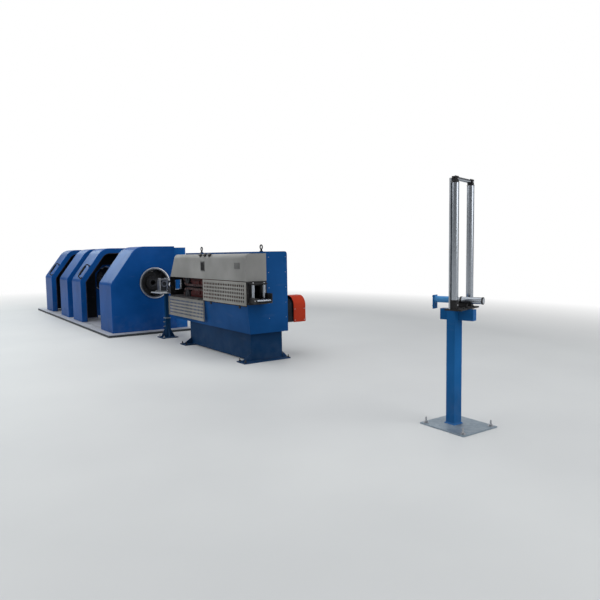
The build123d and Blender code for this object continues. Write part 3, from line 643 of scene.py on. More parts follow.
hinge_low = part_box("guard_hinges")[0]
hinge_y = -hinge_low.y - 0.007
hinge_z = hinge_low.z + 0.007
guard("guard_sheet_inlet", "guard_inlet", "door_inlet", True)
guard("guard_sheet_outlet", "guard_outlet", "door_outlet", False)


# Anchors of the feet and plates

ANCHOR = 0.026


def anchors(name, node, inset, thick, stud, finish="bolt"):
    """An anchor at each corner of a foot plate."""
    low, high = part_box(node)
    bm = bmesh.new()
    for x in (low.x + inset, high.x - inset):
        for y in (low.y + inset, high.y - inset):
            hex_bolt(bm, (x, y, thick), UP, ANCHOR, stud)
    piece(name, bm, finish)


anchors("anchors_foot_inlet", "foot_inlet", 0.035, 0.016, 0.04, "black_bolt")
anchors("anchors_foot_outlet", "foot_outlet", 0.035, 0.016, 0.04, "black_bolt")
anchors("anchors_die_post", "die_post", 0.035, 0.016, 0.035)
anchors("anchors_stand", "stand_plate", 0.038, 0.012, 0.052)


# Dark sheets of painted shade inside the housings, and edge seals of the housings

SHELL_LENGTH = 0.82
SHELL_SHEET = 0.025
SHELL_TOP = 1.727
SHELL_FRONT = -0.870
SLANT_FOOT = Vector((SHELL_FRONT, 1.006))
SLANT_RUN = Vector((0.520, 0.721))
BENDS = (0.120, 0.320)
DECK_TOP = 0.055
# The thickness of the dark sheets of painted shade.
SHADE_SHEET = 0.006
SEAL = 0.014
RIM_WIDTH = 0.120
SEAL_LAP = 0.002
DOORWAY = 0.335
DOORWAY_CORNER = 0.14


def arch_points(inset):
    """The corners of a housing's outline moved inwards: foot, lower bend, upper bend, rear."""
    along = SLANT_RUN.normalized()
    inward = Vector((along.y, -along.x))
    start = SLANT_FOOT + inward * inset
    front = SHELL_FRONT + inset
    roof = SHELL_TOP - inset
    low = start + along * ((front - start.x) / along.x)
    high = start + along * ((roof - start.y) / along.y)
    return [Vector((front, DECK_TOP + 0.01)), low, high, Vector((0.40, roof))]


def arch_face(bm, x, inset):
    """The housing's section in the plane at x, with its two bends rounded."""
    points = arch_points(inset)
    corners = [*points, Vector((points[3].x, points[0].y))]
    verts = [bm.verts.new((x, point.x, point.y)) for point in corners]
    bm.faces.new(verts)
    for corner, radius in zip(verts[1:3], BENDS):
        arms = [e.other_vert(corner).co - corner.co for e in corner.link_edges]
        half_turn = (math.pi - arms[0].angle(arms[1])) / 2
        reach = max(radius - inset, 0.03) * math.tan(half_turn)
        bmesh.ops.bevel(
            bm,
            geom=[corner],
            offset=reach,
            segments=8,
            profile=0.5,
            affect="VERTICES",
            material=-1,
        )
    return bm.faces[:]


def arch_strip(bm, x, inset, thick):
    """A strip that follows the housing's inside from its front foot to the roof's rear."""
    strip = bmesh.new()
    arch_face(strip, x[0], inset)
    low = min(v.co.z for v in strip.verts)
    rear = max(v.co.y for v in strip.verts)
    closing = [
        e
        for e in strip.edges
        if all(v.co.z < low + 1e-5 for v in e.verts) or all(v.co.y > rear - 1e-5 for v in e.verts)
    ]
    bmesh.ops.delete(strip, geom=strip.faces[:], context="FACES_ONLY")
    bmesh.ops.delete(strip, geom=closing, context="EDGES")
    strip.edges.ensure_lookup_table()
    grown = bmesh.ops.extrude_edge_only(strip, edges=strip.edges[:])
    moved = [item for item in grown["geom"] if isinstance(item, bmesh.types.BMVert)]
    bmesh.ops.translate(strip, vec=(x[1] - x[0], 0, 0), verts=moved)
    bmesh.ops.recalc_face_normals(strip, faces=strip.faces[:])
    bmesh.ops.solidify(strip, geom=strip.faces[:], thickness=thick)
    join(bm, strip)


def end_wall_shade_sheet(bm, x, thick):
    """A dark sheet of painted shade on a sliding housing's end wall, with a gap for the doorway."""
    panel = bmesh.new()
    arch_face(panel, x, SHELL_SHEET + 2 * SHADE_SHEET)
    cuts = (
        ((0, -DOORWAY, 0), (0, 1, 0)),
        ((0, DOORWAY, 0), (0, 1, 0)),
        ((0, 0, AXIS_HEIGHT + DOORWAY), (0, 0, 1)),
        ((0, DOORWAY, AXIS_HEIGHT + DOORWAY_CORNER), (0, 1, 1)),
        ((0, -DOORWAY, AXIS_HEIGHT + DOORWAY_CORNER), (0, -1, 1)),
    )
    for at, across in cuts:
        whole = panel.verts[:] + panel.edges[:] + panel.faces[:]
        bmesh.ops.bisect_plane(panel, geom=whole, plane_co=at, plane_no=across)
    gap = []
    for face in panel.faces:
        middle = face.calc_center_median()
        slope = abs(middle.y) - DOORWAY + middle.z - AXIS_HEIGHT - DOORWAY_CORNER
        if abs(middle.y) < DOORWAY and middle.z < AXIS_HEIGHT + DOORWAY and slope < 0:
            gap.append(face)
    bmesh.ops.delete(panel, geom=gap, context="FACES")
    bmesh.ops.recalc_face_normals(panel, faces=panel.faces[:])
    bmesh.ops.solidify(panel, geom=panel.faces[:], thickness=thick)
    join(bm, panel)


HEADS = (("1", 0.0, 1.545), ("2", -3.69, 1.06))
for number, outlet, gap in HEADS:
    slide_outlet = outlet - SHELL_LENGTH - gap
    housings = (("fixed", outlet, FRAME_BODY), ("sliding", slide_outlet, "hood_" + number))
    for kind, face, body in housings:
        # Dark sheets painted in as shade along the inside of each housing.
        inside = (face - SHELL_LENGTH + SHELL_SHEET + SHADE_SHEET, face - SHELL_SHEET - SHADE_SHEET)
        bm = bmesh.new()
        arch_strip(bm, inside, SHELL_SHEET + SHADE_SHEET + 0.001, SHADE_SHEET)
        if kind == "sliding":
            end_wall_shade_sheet(bm, face - SHELL_LENGTH + SHELL_SHEET + SHADE_SHEET, SHADE_SHEET)
        piece(f"{kind}_lining_{number}", bm, "shade_and_joints", body)
        rim = face - SHELL_LENGTH if kind == "fixed" else face - SHELL_SHEET
        span = (rim - SEAL_LAP, rim + SHELL_SHEET + SEAL_LAP)
        bm = bmesh.new()
        arch_strip(bm, span, RIM_WIDTH - SEAL / 2, SEAL)
        piece(f"{kind}_edge_seal_{number}", bm, "seal", body)
    # A dark sheet painted in as shade inside the rear housing's back wall.
    low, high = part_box("rear_housing_" + number)
    bm = bmesh.new()
    wall = high.y - SHELL_SHEET
    slab(bm, (low.x + 0.03, wall - SHADE_SHEET, 0.06), (high.x - 0.03, wall - 0.001, high.z - 0.03))
    piece(f"rear_lining_{number}", bm, "shade_and_joints")


# Fittings of each head

HANDLE_INSET = 0.045
HANDLE_MIDDLE = Vector((0, -0.740, 1.18625))
HANDLE_RISE = Vector((0, SLANT_RUN.x, SLANT_RUN.y)).normalized()
HANDLE_OUT = Vector((0, -HANDLE_RISE.z, HANDLE_RISE.y))
HANDLE_STAND = 0.082
HANDLE_REACH = 0.162
BAR_CIRCLES = (0.405, 0.490)
SECTORS = 6
BOBBIN_PLACE = 0.346
WOUND_RADIUS = 0.128
WOUND_HALF = 0.145
WOUND_TURNS = 15


def wound_strand(bm, place):
    """The strand on one bobbin: a barrel of rounded turns along the Z of place."""
    pitch = 2 * WOUND_HALF / WOUND_TURNS
    crest = WOUND_RADIUS
    valley = WOUND_RADIUS - 0.006
    for n in range(WOUND_TURNS):
        start = -WOUND_HALF + n * pitch
        for low, first, second in ((start, valley, crest), (start + pitch / 2, crest, valley)):
            bmesh.ops.create_cone(
                bm,
                cap_ends=False,
                segments=24,
                radius1=first,
                radius2=second,
                depth=pitch / 2,
                matrix=place @ Matrix.Translation((0, 0, low + pitch / 4)),
            )


for number, outlet, gap in HEADS:
    slide_outlet = outlet - SHELL_LENGTH - gap
    hood, rotor = "hood_" + number, "rotor_" + number
    rim = ring_of((outlet + 0.018, 0, AXIS_HEIGHT), DOWNSTREAM, 0.298, 12, math.pi / 12)
    screws("outlet_ring_screws_" + number, rim, DOWNSTREAM, 0.0065)
    # A bright lip round the ring: painted highlight.
    bm = bmesh.new()
    collar(bm, facing((outlet + 0.018, 0, AXIS_HEIGHT), DOWNSTREAM), 0.2895, 0.3095, 0, 0.0025, 96)
    piece("outlet_ring_lip_" + number, bm, "lip")

    hub = Vector((outlet - 0.105, 0, AXIS_HEIGHT))
    spots = ring_of(hub, DOWNSTREAM, 0.116, 8)
    bolts("hub_bolts_" + number, spots, DOWNSTREAM, 0.02, "black_bolt", rotor)
    bm = bmesh.new()
    collar(bm, facing(hub, DOWNSTREAM), 0.0515, 0.082, 0, 0.012)
    for spot in ring_of(hub + 0.012 * DOWNSTREAM, DOWNSTREAM, 0.066, 6):
        cap_screw(bm, spot, DOWNSTREAM, 0.005)
    piece("shaft_lock_ring_" + number, bm, "iron", rotor)
    bm = bmesh.new()
    face = Vector((outlet - 0.150, 0, AXIS_HEIGHT))
    for spot in ring_of(face, DOWNSTREAM, 0.182, 12, math.pi / 12):
        collar(bm, facing(spot, DOWNSTREAM), 0.007, 0.015, 0, 0.009, 20)
    piece("strand_eyes_" + number, bm, "iron", rotor)
    ends = [spot for r in BAR_CIRCLES for spot in ring_of(face, DOWNSTREAM, r, SECTORS)]
    bolts("disc_bolts_" + number, ends, DOWNSTREAM, 0.022, "black_bolt", rotor)
    back = Vector((outlet - 1.400, 0, AXIS_HEIGHT))
    ends = [spot for r in BAR_CIRCLES for spot in ring_of(back, UPSTREAM, r, SECTORS)]
    bolts("rear_disc_bolts_" + number, ends, UPSTREAM, 0.022, "black_bolt", rotor)

    low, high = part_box("bobbins_" + number)
    rows = (high.x - 0.16, low.x + 0.16)
    bm = bmesh.new()
    for n in range(SECTORS):
        turn = Matrix.Rotation(-2 * math.pi * n / SECTORS, 4, "X")
        middle = Vector((rows[n % 2], 0, AXIS_HEIGHT))
        place = Matrix.Translation(middle) @ turn @ Matrix.Translation((0, 0, BOBBIN_PLACE))
        wound_strand(bm, place @ Matrix.Rotation(math.pi / 2, 4, "X"))
    piece("wound_strand_" + number, bm, "strand", rotor)

    low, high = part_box("bearing_stand_" + number)
    for side, x, out in (("inlet", low.x, UPSTREAM), ("outlet", high.x, DOWNSTREAM)):
        centre = Vector((x, 0, AXIS_HEIGHT))
        bm = bmesh.new()
        collar(bm, facing(centre, out), 0.086, 0.112, 0, 0.010)
        for spot in ring_of(centre, out, 0.132, 8, math.pi / 8):
            hex_bolt(bm, spot, out, 0.016)
        piece(f"bearing_cover_{side}_{number}", bm, "iron")

    x = slide_outlet - HANDLE_INSET
    bm = bmesh.new()
    for along in (-HANDLE_REACH, HANDLE_REACH):
        foot = Vector((x, 0, 0)) + HANDLE_MIDDLE + HANDLE_RISE * along
        place = facing(foot, HANDLE_OUT)
        drum(bm, place, 0, 0.006, 0.034, 28)
        drum(bm, place, 0.006, 0.020, 0.022, 28, 0.016)
        for spot in ring_of(foot + HANDLE_OUT * 0.006, HANDLE_OUT, 0.027, 3):
            cap_screw(bm, spot, HANDLE_OUT, 0.004)
    piece("handle_bosses_" + number, bm, "handle", hood)
    bm = bmesh.new()
    grip = Vector((x, 0, 0)) + HANDLE_MIDDLE + HANDLE_OUT * HANDLE_STAND
    place = facing(grip, HANDLE_RISE)
    for n in range(9):
        start = -0.117 + n * 0.026
        drum(bm, place, start, start + 0.020, 0.0245, 20)
        drum(bm, place, start + 0.020, start + 0.026, 0.0215, 20)
    piece("handle_grip_" + number, bm, "grip", hood)

    low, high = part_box("rear_housing_" + number)
    step = (high.x - low.x - 0.10) / 3
    for n in range(3):
        start = low.x + 0.08 + n * step
        door = f"rear_door_{number}_{n + 1}"
        service_door(door, (start, start + step - 0.06), high.y, (0.16, 1.60), "rear")

# Deck joints and screws

low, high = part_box("head_deck")
bm = bmesh.new()
for n in range(1, 6):
    x = low.x + (high.x - low.x) * n / 6
    slab(bm, (x - 0.002, low.y + 0.0005, high.z - 0.0005), (x + 0.002, -0.872, high.z + 0.0003))
piece("deck_joints", bm, "shade_and_joints")
spots = [(low.x + 0.12 + 0.345 * n, low.y + 0.028, high.z) for n in range(21)]
screws("deck_screws", spots, UP, 0.007)

# Die post: clamps, pillars, die ring and guide roller

low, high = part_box("die_post")
post_x, post_y = (low.x + high.x) / 2, (low.y + high.y) / 2
corners = ((post_x - 0.053, post_y - 0.053, 0.362), (post_x + 0.053, post_y + 0.053, 0.382))
plates("post_clamp_collar", [corners], 0.004, "zinc")
bm = bmesh.new()
for z in (0.300, 0.215):
    place = facing((post_x, post_y - 0.046, z), FRONT)
    drum(bm, place, 0, 0.010, 0.015, 24)
    drum(bm, place, 0.010, 0.026, 0.010, 6)
    drum(bm, place, 0.026, 0.034, 0.006, 16)
piece("post_clamp_screws", bm, "bolt")

table_low, table_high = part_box("die_table")
die_low, die_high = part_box("die_block")
corners = [
    (
        (table_low.x + 0.004, y - 0.006, table_high.z - 0.0003),
        (table_high.x - 0.004, y + 0.006, table_high.z + 0.0004),
    )
    for y in (-0.175, 0.068)
]
plates("table_slots", corners, 0, "shade_and_joints")
bm = bmesh.new()
for side in (-1, 1):
    inner = side * (die_high.y + 0.001)
    outer = side * (die_high.y + (0.012 if side > 0 else 0.045))
    y = sorted((inner, outer))
    slab(bm, (die_low.x, y[0], table_high.z), (die_high.x, y[1], table_high.z + 0.018), 0.002)
for x in (die_low.x + 0.025, die_high.x - 0.025):
    hex_bolt(bm, (x, -die_high.y - 0.025, table_high.z + 0.018), UP, 0.015)
piece("die_clamps", bm, "die")
bm = bmesh.new()
for x, out in ((die_low.x, UPSTREAM), (die_high.x, DOWNSTREAM)):
    centre = Vector((x, 0, AXIS_HEIGHT))
    collar(bm, facing(centre, out), 0.0405, 0.062, 0, 0.012)
    for spot in ring_of(centre + out * 0.012, out, 0.051, 6):
        cap_screw(bm, spot, out, 0.005)
piece("die_rings", bm, "shaft")
bm = bmesh.new()
for x in (die_low.x + 0.018, die_high.x - 0.018):
    for side in (-1, 1):
        place = facing((x, side * 0.062, die_high.z), UP)
        drum(bm, place, 0, 0.006, 0.013, 6)
        drum(bm, place, 0.006, 0.030, 0.0075, 16)
        drum(bm, place, 0.030, 0.036, 0.013, 6)
bar = ((die_low.x + 0.002, -0.094, die_high.z + 0.012), (die_high.x + 0.018, 0.094, die_high.z + 0.022))
slab(bm, *bar, 0.002)
for side in (-1, 1):
    pillar = facing((die_high.x + 0.011, side * 0.082, table_high.z), UP)
    drum(bm, pillar, 0, 0.010, 0.014, 6)
    drum(bm, pillar, 0.010, 0.245, 0.009, 24)
    drum(bm, pillar, 0.245, 0.256, 0.013, 6)
piece("die_adjusters", bm, "bolt")
# Dark plates on both end faces of the die block: painted shade of a recessed middle.
bm = bmesh.new()
for x in (die_low.x, die_high.x):
    edge = 0.004 if x == die_high.x else -0.004
    slab(bm, (min(x, x + edge), -0.066, 0.868), (max(x, x + edge), 0.066, 1.058), 0.001)
piece("die_face_shade_plates", bm, "iron")
bm = bmesh.new()
guide_low, guide_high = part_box("guide_frame")
for side in (-1, 1):
    y = sorted((side * 0.060, side * 0.068))
    slab(bm, (guide_high.x, y[0], table_high.z), (guide_high.x + 0.026, y[1], table_high.z + 0.048), 0.002)
piece("guide_roller_cheeks", bm, "die")
bm = bmesh.new()
place = facing((guide_high.x + 0.013, -0.060, table_high.z + 0.028), BACK)
drum(bm, place, 0.001, 0.119, 0.0125, 28)
drum(bm, place, -0.010, 0.130, 0.004, 12)
piece("guide_roller", bm, "roller")
bm = bmesh.new()
for x, out in ((guide_low.x + 0.025, UPSTREAM), (guide_low.x + 0.035, DOWNSTREAM)):
    collar(bm, facing((x, 0, AXIS_HEIGHT), out), 0.0482, 0.058, 0, 0.004)
piece("guide_eye_rims", bm, "shaft")
corners = [(guide_high.x, y, z) for y in (-0.069, 0.069) for z in (0.93, 1.068)]
screws("guide_frame_screws", corners, DOWNSTREAM, 0.005)

# Haul-off: tracks

WHEEL_PLACES = (1.7303, 3.8047)
TRACK_RISE = 0.1453
for name, centre in (("upper", AXIS_HEIGHT + TRACK_RISE), ("lower", AXIS_HEIGHT - TRACK_RISE)):
    hubs, hub_shade_ring = bmesh.new(), bmesh.new()
    for x in WHEEL_PLACES:
        hub = Vector((x, -0.050, centre))
        place = facing(hub, FRONT)
        drum(hubs, place, 0, 0.008, 0.042, 32)
        drum(hubs, place, 0.008, 0.014, 0.030, 28, 0.026)
        for spot in ring_of(hub, FRONT, 0.055, 6):
            hex_bolt(hubs, spot, FRONT, 0.010)
        # A flat black ring round the hub: painted shade of a recess.
        collar(hub_shade_ring, place, 0.064, 0.086, 0, 0.0012)
    piece("wheel_hubs_" + name, hubs, "iron")
    piece("wheel_recess_" + name, hub_shade_ring, "black")
    low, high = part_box("track_beam_" + name)
    blocks_z = (1.0523, 1.1143) if name == "upper" else (0.8857, 0.9477)
    spots = []
    for n in range(5):
        start = low.x + 0.110 + n * 0.344
        for x in (start + 0.030, start + 0.150, start + 0.270):
            spots += [(x, low.y, blocks_z[0] + 0.014), (x, low.y, blocks_z[1] - 0.014)]
    screws("press_block_screws_" + name, spots, FRONT, 0.006, "black_bolt")

# Haul-off: dark sheets of painted shade behind the tracks

corners = (
    ((1.216, 0.161, 0.834), (4.039, 0.1665, 1.160)),
    ((1.320, 0.161, 1.166), (4.030, 0.1665, 1.530)),
)
plates("track_space_shade_sheet", corners, 0, "shade_and_joints")

# Haul-off: hinge plates, end plates and gate rollers

SPACE_INLET, SPACE_OUTLET = 1.208, 4.047
bm = bmesh.new()
for x in (1.390, 2.4375, 2.8825, 3.830):
    slab(bm, (x - 0.027, -0.1575, 0.772), (x + 0.027, -0.146, 0.809), 0.002)
    for dx in (-0.016, 0.016):
        cap_screw(bm, (x + dx, -0.1575, 0.786), FRONT, 0.0035)
piece("hinge_plates", bm, "black")
corners = ((SPACE_INLET, -0.1570, 0.806), (SPACE_OUTLET, -0.1535, 0.8325))
plates("sill_strip", [corners], 0.001, "seal")
# Painted shade: a dark sheet with ribs laid on the ledge under the tracks.
bm = bmesh.new()
slab(bm, (SPACE_INLET, -0.150, 0.8300), (SPACE_OUTLET, 0.160, 0.8335), 0.001)
for n in range(1, 9):
    x = SPACE_INLET + (SPACE_OUTLET - SPACE_INLET) * n / 9
    slab(bm, (x - 0.004, -0.149, 0.8333), (x + 0.004, 0.159, 0.8350), 0.0005)
piece("track_floor_painted_shade", bm, "seal")
for name, x, out in (("inlet", 1.200, UPSTREAM), ("outlet", 4.055, DOWNSTREAM)):
    spots = [(x, y, z) for y in (-0.139, 0.150) for z in (0.846, 0.994, 1.148)]
    bolts("end_plate_bolts_" + name, spots, out, 0.012, "black_bolt")
    gate_x = x + out.x * 0.060
    sill_x = x + out.x * 0.190
    for side, roller in ((-1, "front"), (1, "rear")):
        body = f"{name}_spin_{roller}"
        bm = bmesh.new()
        place = facing((gate_x, side * 0.088, 0.918), UP)
        for low, high in ((0.0, 0.005), (0.195, 0.200)):
            collar(bm, place, 0.0082, 0.0232, low, high, 28)
        piece(f"{name}_{roller}_roller_seals", bm, "seal", body)
        bm = bmesh.new()
        top = facing((gate_x, side * 0.088, 1.138), UP)
        drum(bm, top, 0, 0.008, 0.0125, 6)
        drum(bm, top, 0.008, 0.013, 0.006, 14)
        piece(f"{name}_{roller}_roller_nut", bm, "bolt", body)
    bm = bmesh.new()
    place = facing((sill_x, -0.114, 0.8995), BACK)
    for low, high in ((0.0, 0.005), (0.223, 0.228)):
        collar(bm, place, 0.0082, 0.0232, low, high, 28)
    piece(f"{name}_sill_roller_seals", bm, "seal", f"{name}_spin_sill")
    bm = bmesh.new()
    drum(bm, facing((sill_x, -0.128, 0.8995), FRONT), 0, 0.008, 0.0125, 6)
    piece(f"{name}_sill_roller_nut", bm, "bolt", f"{name}_spin_sill")

# Haul-off: drive, doors and lifting eyes

COLUMN_BACK = 0.522
PEDESTAL_BACK = 0.490
motor_low, motor_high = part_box("motor")
cover_low, cover_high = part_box("motor_cover")


def cooling_fin(bm, y):
    """One fin round the motor: a thin plate with a round top."""
    low = (motor_low.x - 0.010, y, motor_low.z)
    high = (motor_high.x + 0.010, y + 0.005, motor_high.z + 0.010)
    verts = slab(bm, low, high)
    tops = {e for v in verts for e in v.link_edges if all(u.co.z > high[2] - 1e-4 for u in e.verts)}
    along = [e for e in tops if abs(e.verts[0].co.x - e.verts[1].co.x) < 1e-5]
    bmesh.ops.bevel(bm, geom=along, offset=0.10, segments=6, profile=0.5, affect="EDGES", material=-1)


bm = bmesh.new()
for n in range(10):
    cooling_fin(bm, 0.552 + n * 0.018)
piece("motor_fins", bm, "motor")
bm = bmesh.new()
start = (motor_low.x - 0.02, COLUMN_BACK, motor_low.z - 0.02)
slab(bm, start, (motor_high.x + 0.02, 0.534, motor_high.z + 0.02), 0.003)
for x in (motor_low.x, motor_high.x):
    for z in (motor_low.z, motor_high.z):
        hex_bolt(bm, (x, 0.534, z), BACK, 0.014)
piece("motor_flange", bm, "motor")
bm = bmesh.new()
middle = (motor_low.x + motor_high.x) / 2
slab(bm, (middle - 0.06, 0.575, motor_high.z), (middle + 0.06, 0.695, motor_high.z + 0.048), 0.004)
slab(bm, (middle - 0.064, 0.571, motor_high.z + 0.044), (middle + 0.064, 0.699, motor_high.z + 0.050), 0.002)
drum(bm, facing((middle + 0.06, 0.635, motor_high.z + 0.022), DOWNSTREAM), 0, 0.020, 0.013, 6)
piece("motor_terminal_box", bm, "motor")
bm = bmesh.new()
for n in range(9):
    z = cover_low.z + 0.07 + n * 0.022
    slab(bm, (middle - 0.10, cover_high.y - 0.0004, z), (middle + 0.10, cover_high.y + 0.0006, z + 0.008))
piece("cover_slots", bm, "shade_and_joints")
for name, x, out in (("inlet", cover_low.x, UPSTREAM), ("outlet", cover_high.x, DOWNSTREAM)):
    spots = [(x, y, z) for y in (0.765, 0.935) for z in (cover_low.z + 0.03, cover_low.z + 0.20)]
    screws("cover_screws_" + name, spots, out, 0.007)
service_door("column_door_1", (1.30, 2.30), COLUMN_BACK, (0.50, 1.44), "haul")
service_door("column_door_2", (2.38, 3.38), COLUMN_BACK, (0.50, 1.44), "haul")
plates("column_panel", [((3.47, COLUMN_BACK, 0.98), (3.97, 0.526, 1.44))], 0.0015, "haul")
spots = [(x, 0.526, z) for x in (3.49, 3.95) for z in (1.00, 1.21, 1.42)]
screws("column_panel_screws", spots, BACK, 0.006)
plates("pedestal_panel", [((2.15, PEDESTAL_BACK, 0.07), (3.45, 0.4935, 0.37))], 0.0015, "base")
column_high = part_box("haul_column")[1]
spots = [(column_high.x, y, 0.62 + 0.22 * n) for y in (0.205, 0.490) for n in range(5)]
screws("column_end_screws", spots, DOWNSTREAM, 0.0045)
spots = [(x, 0.4935, z) for x in (2.175, 2.8, 3.425) for z in (0.09, 0.35)]
screws("pedestal_panel_screws", spots, BACK, 0.006)
bm = bmesh.new()
for x in (1.770, 3.825):
    place = facing((x, 0.227, 1.580), UP)
    drum(bm, place, 0, 0.008, 0.027, 28)
    drum(bm, place, 0.008, 0.012, 0.027, 28, 0.022)
piece("eye_collars", bm, "black")

# Roller stand

HEAD = Matrix.Translation((7.712, -0.038, 0)) @ Matrix.Rotation(math.radians(17), 4, "Z")


def on_head(x, y, z):
    """A point of the turned roller head."""
    return HEAD @ Vector((x, y, z))


def along_head(x, y, z):
    """A direction of the turned roller head."""
    return HEAD.to_3x3() @ Vector((x, y, z))


post_middle = Vector((7.655, -0.072, 0))
bm = bmesh.new()
bmesh.ops.create_cone(
    bm,
    cap_ends=True,
    segments=4,
    radius1=0.060 * math.sqrt(2),
    radius2=0.0475 * math.sqrt(2),
    depth=0.012,
    matrix=Matrix.Translation(post_middle + Vector((0, 0, 0.018))) @ Matrix.Rotation(math.pi / 4, 4, "Z"),
)
piece("post_weld", bm, "post")
spots = [on_head(x, y, 1.054) for x in (-0.058, 0.058) for y in (-0.105, 0.105)]
bolts("roller_table_bolts", spots, UP, 0.016, "black_bolt")
for side, name in ((-1, "front"), (1, "rear")):
    bm = bmesh.new()
    place = facing(on_head(0, side * 0.165, 1.126), UP)
    for start, end in ((0.0, 0.006), (0.993, 0.999)):
        collar(bm, place, 0.0102, 0.0328, start, end, 32)
    piece(f"post_roller_seals_{name}", bm, "seal", "post_spin_" + name)
    bm = bmesh.new()
    for way in (-1, 1):
        out = along_head(way, 0, 0)
        cap_screw(bm, on_head(way * 0.022, side * 0.165, 2.150), out, 0.007)
        cap_screw(bm, on_head(way * 0.026, side * 0.165, 1.088), out, 0.007)
    cap_screw(bm, on_head(0, side * 0.165, 2.1733), UP, 0.007)
    piece(f"cap_screws_{name}", bm, "bolt")
tube = facing(on_head(-0.250, 0, 1.118), along_head(1, 0, 0))
bm = bmesh.new()
collar(bm, tube, 0.0252, 0.0290, 0.0, 0.190, 36)
collar(bm, tube, 0.0252, 0.0330, 0.0, 0.012, 36)
piece("carrier_sleeve", bm, "sleeve")
bm = bmesh.new()
collar(bm, tube, 0.0252, 0.0300, 0.252, 0.430, 40)
piece("carrier_roller", bm, "roller")
bm = bmesh.new()
for start, end in ((0.190, 0.204), (0.236, 0.250), (0.430, 0.440)):
    collar(bm, tube, 0.0252, 0.0320, start, end, 36)
piece("carrier_collars", bm, "black")
bm = bmesh.new()
slab(bm, (-0.0380, -0.200, 1.054), (-0.0265, -0.175, 2.160), 0.0015, HEAD)
slab(bm, (-0.0265, -0.187, 2.132), (-0.0220, -0.175, 2.156), 0.0005, HEAD)
piece("stay_bar", bm, "bar")
spots = [on_head(-0.262, y, z) for y in (-0.026, 0.026) for z in (1.060, 1.144)]
bolts("carrier_end_bolts", spots, along_head(-1, 0, 0), 0.010, "black_bolt")


# Hood of the haul-off: clamp knobs, a sunk grip and a blank plate

KNOB_PLACES = (2.55, 2.71, 2.88)
KNOB_BEND = Vector((0, -0.145, 1.533))
KNOB_OUT = Vector((0, -1, 1)).normalized()

for n, x in enumerate(KNOB_PLACES):
    bm = bmesh.new()
    place = facing(Vector((x, KNOB_BEND.y, KNOB_BEND.z)), KNOB_OUT)
    drum(bm, place, -0.004, 0.004, 0.034, 28)
    drum(bm, place, 0.004, 0.016, 0.014, 20)
    drum(bm, place, 0.016, 0.034, 0.027, 24, 0.023)
    slab(bm, (-0.060, -0.013, 0.018), (0.060, 0.013, 0.033), 0.005, place)
    piece(f"hood_clamp_{n + 1}", bm, "grip")

bm = bmesh.new()
front = -0.167
slab(bm, (2.570, front - 0.005, 1.284), (2.722, front + 0.001, 1.442), 0.003)
piece("hood_grip_frame", bm, "blank")
bm = bmesh.new()
slab(bm, (2.584, front - 0.007, 1.298), (2.708, front - 0.003, 1.428), 0.002)
for n in range(5):
    x = 2.600 + 0.023 * n
    slab(bm, (x - 0.003, front - 0.010, 1.306), (x + 0.003, front - 0.006, 1.420), 0.001)
piece("hood_grip_pocket", bm, "grip")
bm = bmesh.new()
slab(bm, (3.72, front - 0.003, 1.338), (3.885, front + 0.001, 1.426), 0.001)
for x in (3.732, 3.873):
    for z in (1.350, 1.414):
        cap_screw(bm, (x, front - 0.003, z), FRONT, 0.004)
piece("hood_blank_plate", bm, "blank")


# Studio


def area_light(name, at, towards, size, power, colour=(1.0, 1.0, 1.0)):
    lamp = bpy.data.lights.new(name, "AREA")
    lamp.shape = "RECTANGLE"
    lamp.size, lamp.size_y = size
    lamp.energy = power
    lamp.color = colour
    made = put_in_scene(name, lamp)
    aim = (Vector(towards) - Vector(at)).to_track_quat("-Z", "Y").to_matrix().to_4x4()
    made.matrix_world = Matrix.Translation(at) @ aim


FLOOR_SIZE = 60.0
FLOOR_NEAR = 8.5
FLOOR_FAR = 17.0

bm = bmesh.new()
bmesh.ops.create_grid(bm, x_segments=1, y_segments=1, size=FLOOR_SIZE)
floor_mesh = bpy.data.meshes.new("floor")
bm.to_mesh(floor_mesh)
bm.free()
floor = put_in_scene("floor", floor_mesh)
floor_finish = Finish("floor_paint", "", Specular_IOR_Level=0.3)
floor_tone = floor_finish.fade(floor_finish.noise(0.35, 4.0), 0.3, 0.7)
floor_finish.feed(
    Base_Color=floor_finish.blend(floor_tone, tint(186, 188, 189), tint(197, 199, 199)),
    Roughness=0.5 + floor_tone * 0.08,
)
middle = floor_finish.node(
    "Mapping", None, {"Vector": floor_finish.place, "Location": (-1.0, 0, 0), "Scale": (1, 1.5, 1)}
)
out_of_sight = floor_finish.node("VectorMath", {"operation": "LENGTH"}, {0: middle}, out="Value")
rays = floor_finish.ray("Camera") + floor_finish.ray("Glossy") + floor_finish.ray("Transmission")
white = floor_finish.node("Emission", None, {"Color": (1, 1, 1, 1), "Strength": 1.0})
far = floor_finish.fade(out_of_sight, FLOOR_NEAR, FLOOR_FAR) * rays
shader = Socket(floor_finish, floor_finish.shader.outputs[0])
surface = floor_finish.node("MixShader", None, {0: far, 1: shader, 2: white})
floor_finish.tree.links.new(surface.output, floor_finish.tree.nodes["Material Output"].inputs["Surface"])
floor_mesh.materials.append(floor_finish.material)

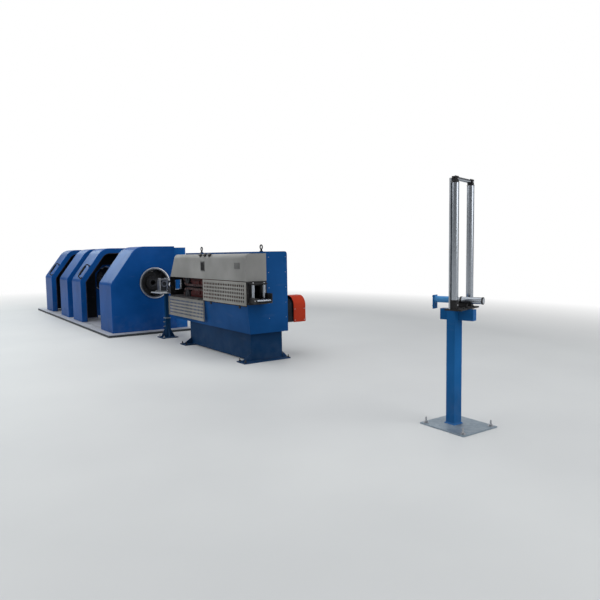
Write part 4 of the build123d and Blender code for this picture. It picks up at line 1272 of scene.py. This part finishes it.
area_light("overhead", (-4.0, -1.0, 9.0), (-4.0, -0.5, 0.0), (24.0, 9.0), 1100.0)
area_light("front", (-1.0, -12.0, 6.5), (0.0, 0.0, 1.0), (16.0, 5.0), 560.0)
area_light("outlet_side", (13.0, 2.5, 5.5), (1.0, 0.0, 1.0), (6.0, 8.0), 450.0)
DAYLIGHT = (0.84, 0.99, 1.0)
area_light("high_window", (-24.0, -3.2, 8.6), (-2.0, -0.6, 1.2), (10.0, 3.4), 560.0, DAYLIGHT)

world = bpy.data.worlds.new("studio")
bpy.context.scene.world = world
world.use_nodes = True
world.node_tree.nodes.clear()
sky = Nodes(world.node_tree)

BACKDROP = Vector((-0.82, 0.57, 0.0))

seen = sky.ray("Camera")
reflected = sky.math("MAXIMUM", sky.ray("Glossy"), sky.ray("Transmission"))
direction = sky.node("TexCoord", out="Generated")
towards = sky.node("VectorMath", {"operation": "DOT_PRODUCT"}, {0: direction, 1: BACKDROP}, out="Value")
shown = sky.math("MAXIMUM", seen, reflected * sky.fade(towards, 0.70, 0.95, 0.20))
either = sky.math("MAXIMUM", seen, reflected)
dim = sky.node("Background", None, {"Color": (0.93, 0.96, 1.0, 1.0), "Strength": 0.42})
bright = sky.node("Background", None, {"Color": (1.0, 1.0, 1.0, 1.0), "Strength": shown})
mixed = sky.node("MixShader", None, {0: either, 1: dim, 2: bright})
sky_output = world.node_tree.nodes.new("ShaderNodeOutputWorld")
world.node_tree.links.new(mixed.output, sky_output.inputs["Surface"])

EYE = (10.99, -4.0, 1.551)
LENS = 33.98
LOOK_LEFT, LOOK_DOWN, ROLL = 55.64, 4.747, -0.878

camera_data = bpy.data.cameras.new("camera")
camera_data.sensor_width = 36.0
camera_data.lens = LENS
camera_data.clip_end = 200.0
camera = put_in_scene("camera", camera_data)
camera.matrix_world = (
    Matrix.Translation(EYE)
    @ Matrix.Rotation(math.radians(LOOK_LEFT), 4, "Z")
    @ Matrix.Rotation(math.radians(90 - LOOK_DOWN), 4, "X")
    @ Matrix.Rotation(math.radians(ROLL), 4, "Z")
)
bpy.context.scene.camera = camera
bpy.context.scene.view_settings.view_transform = "Standard"
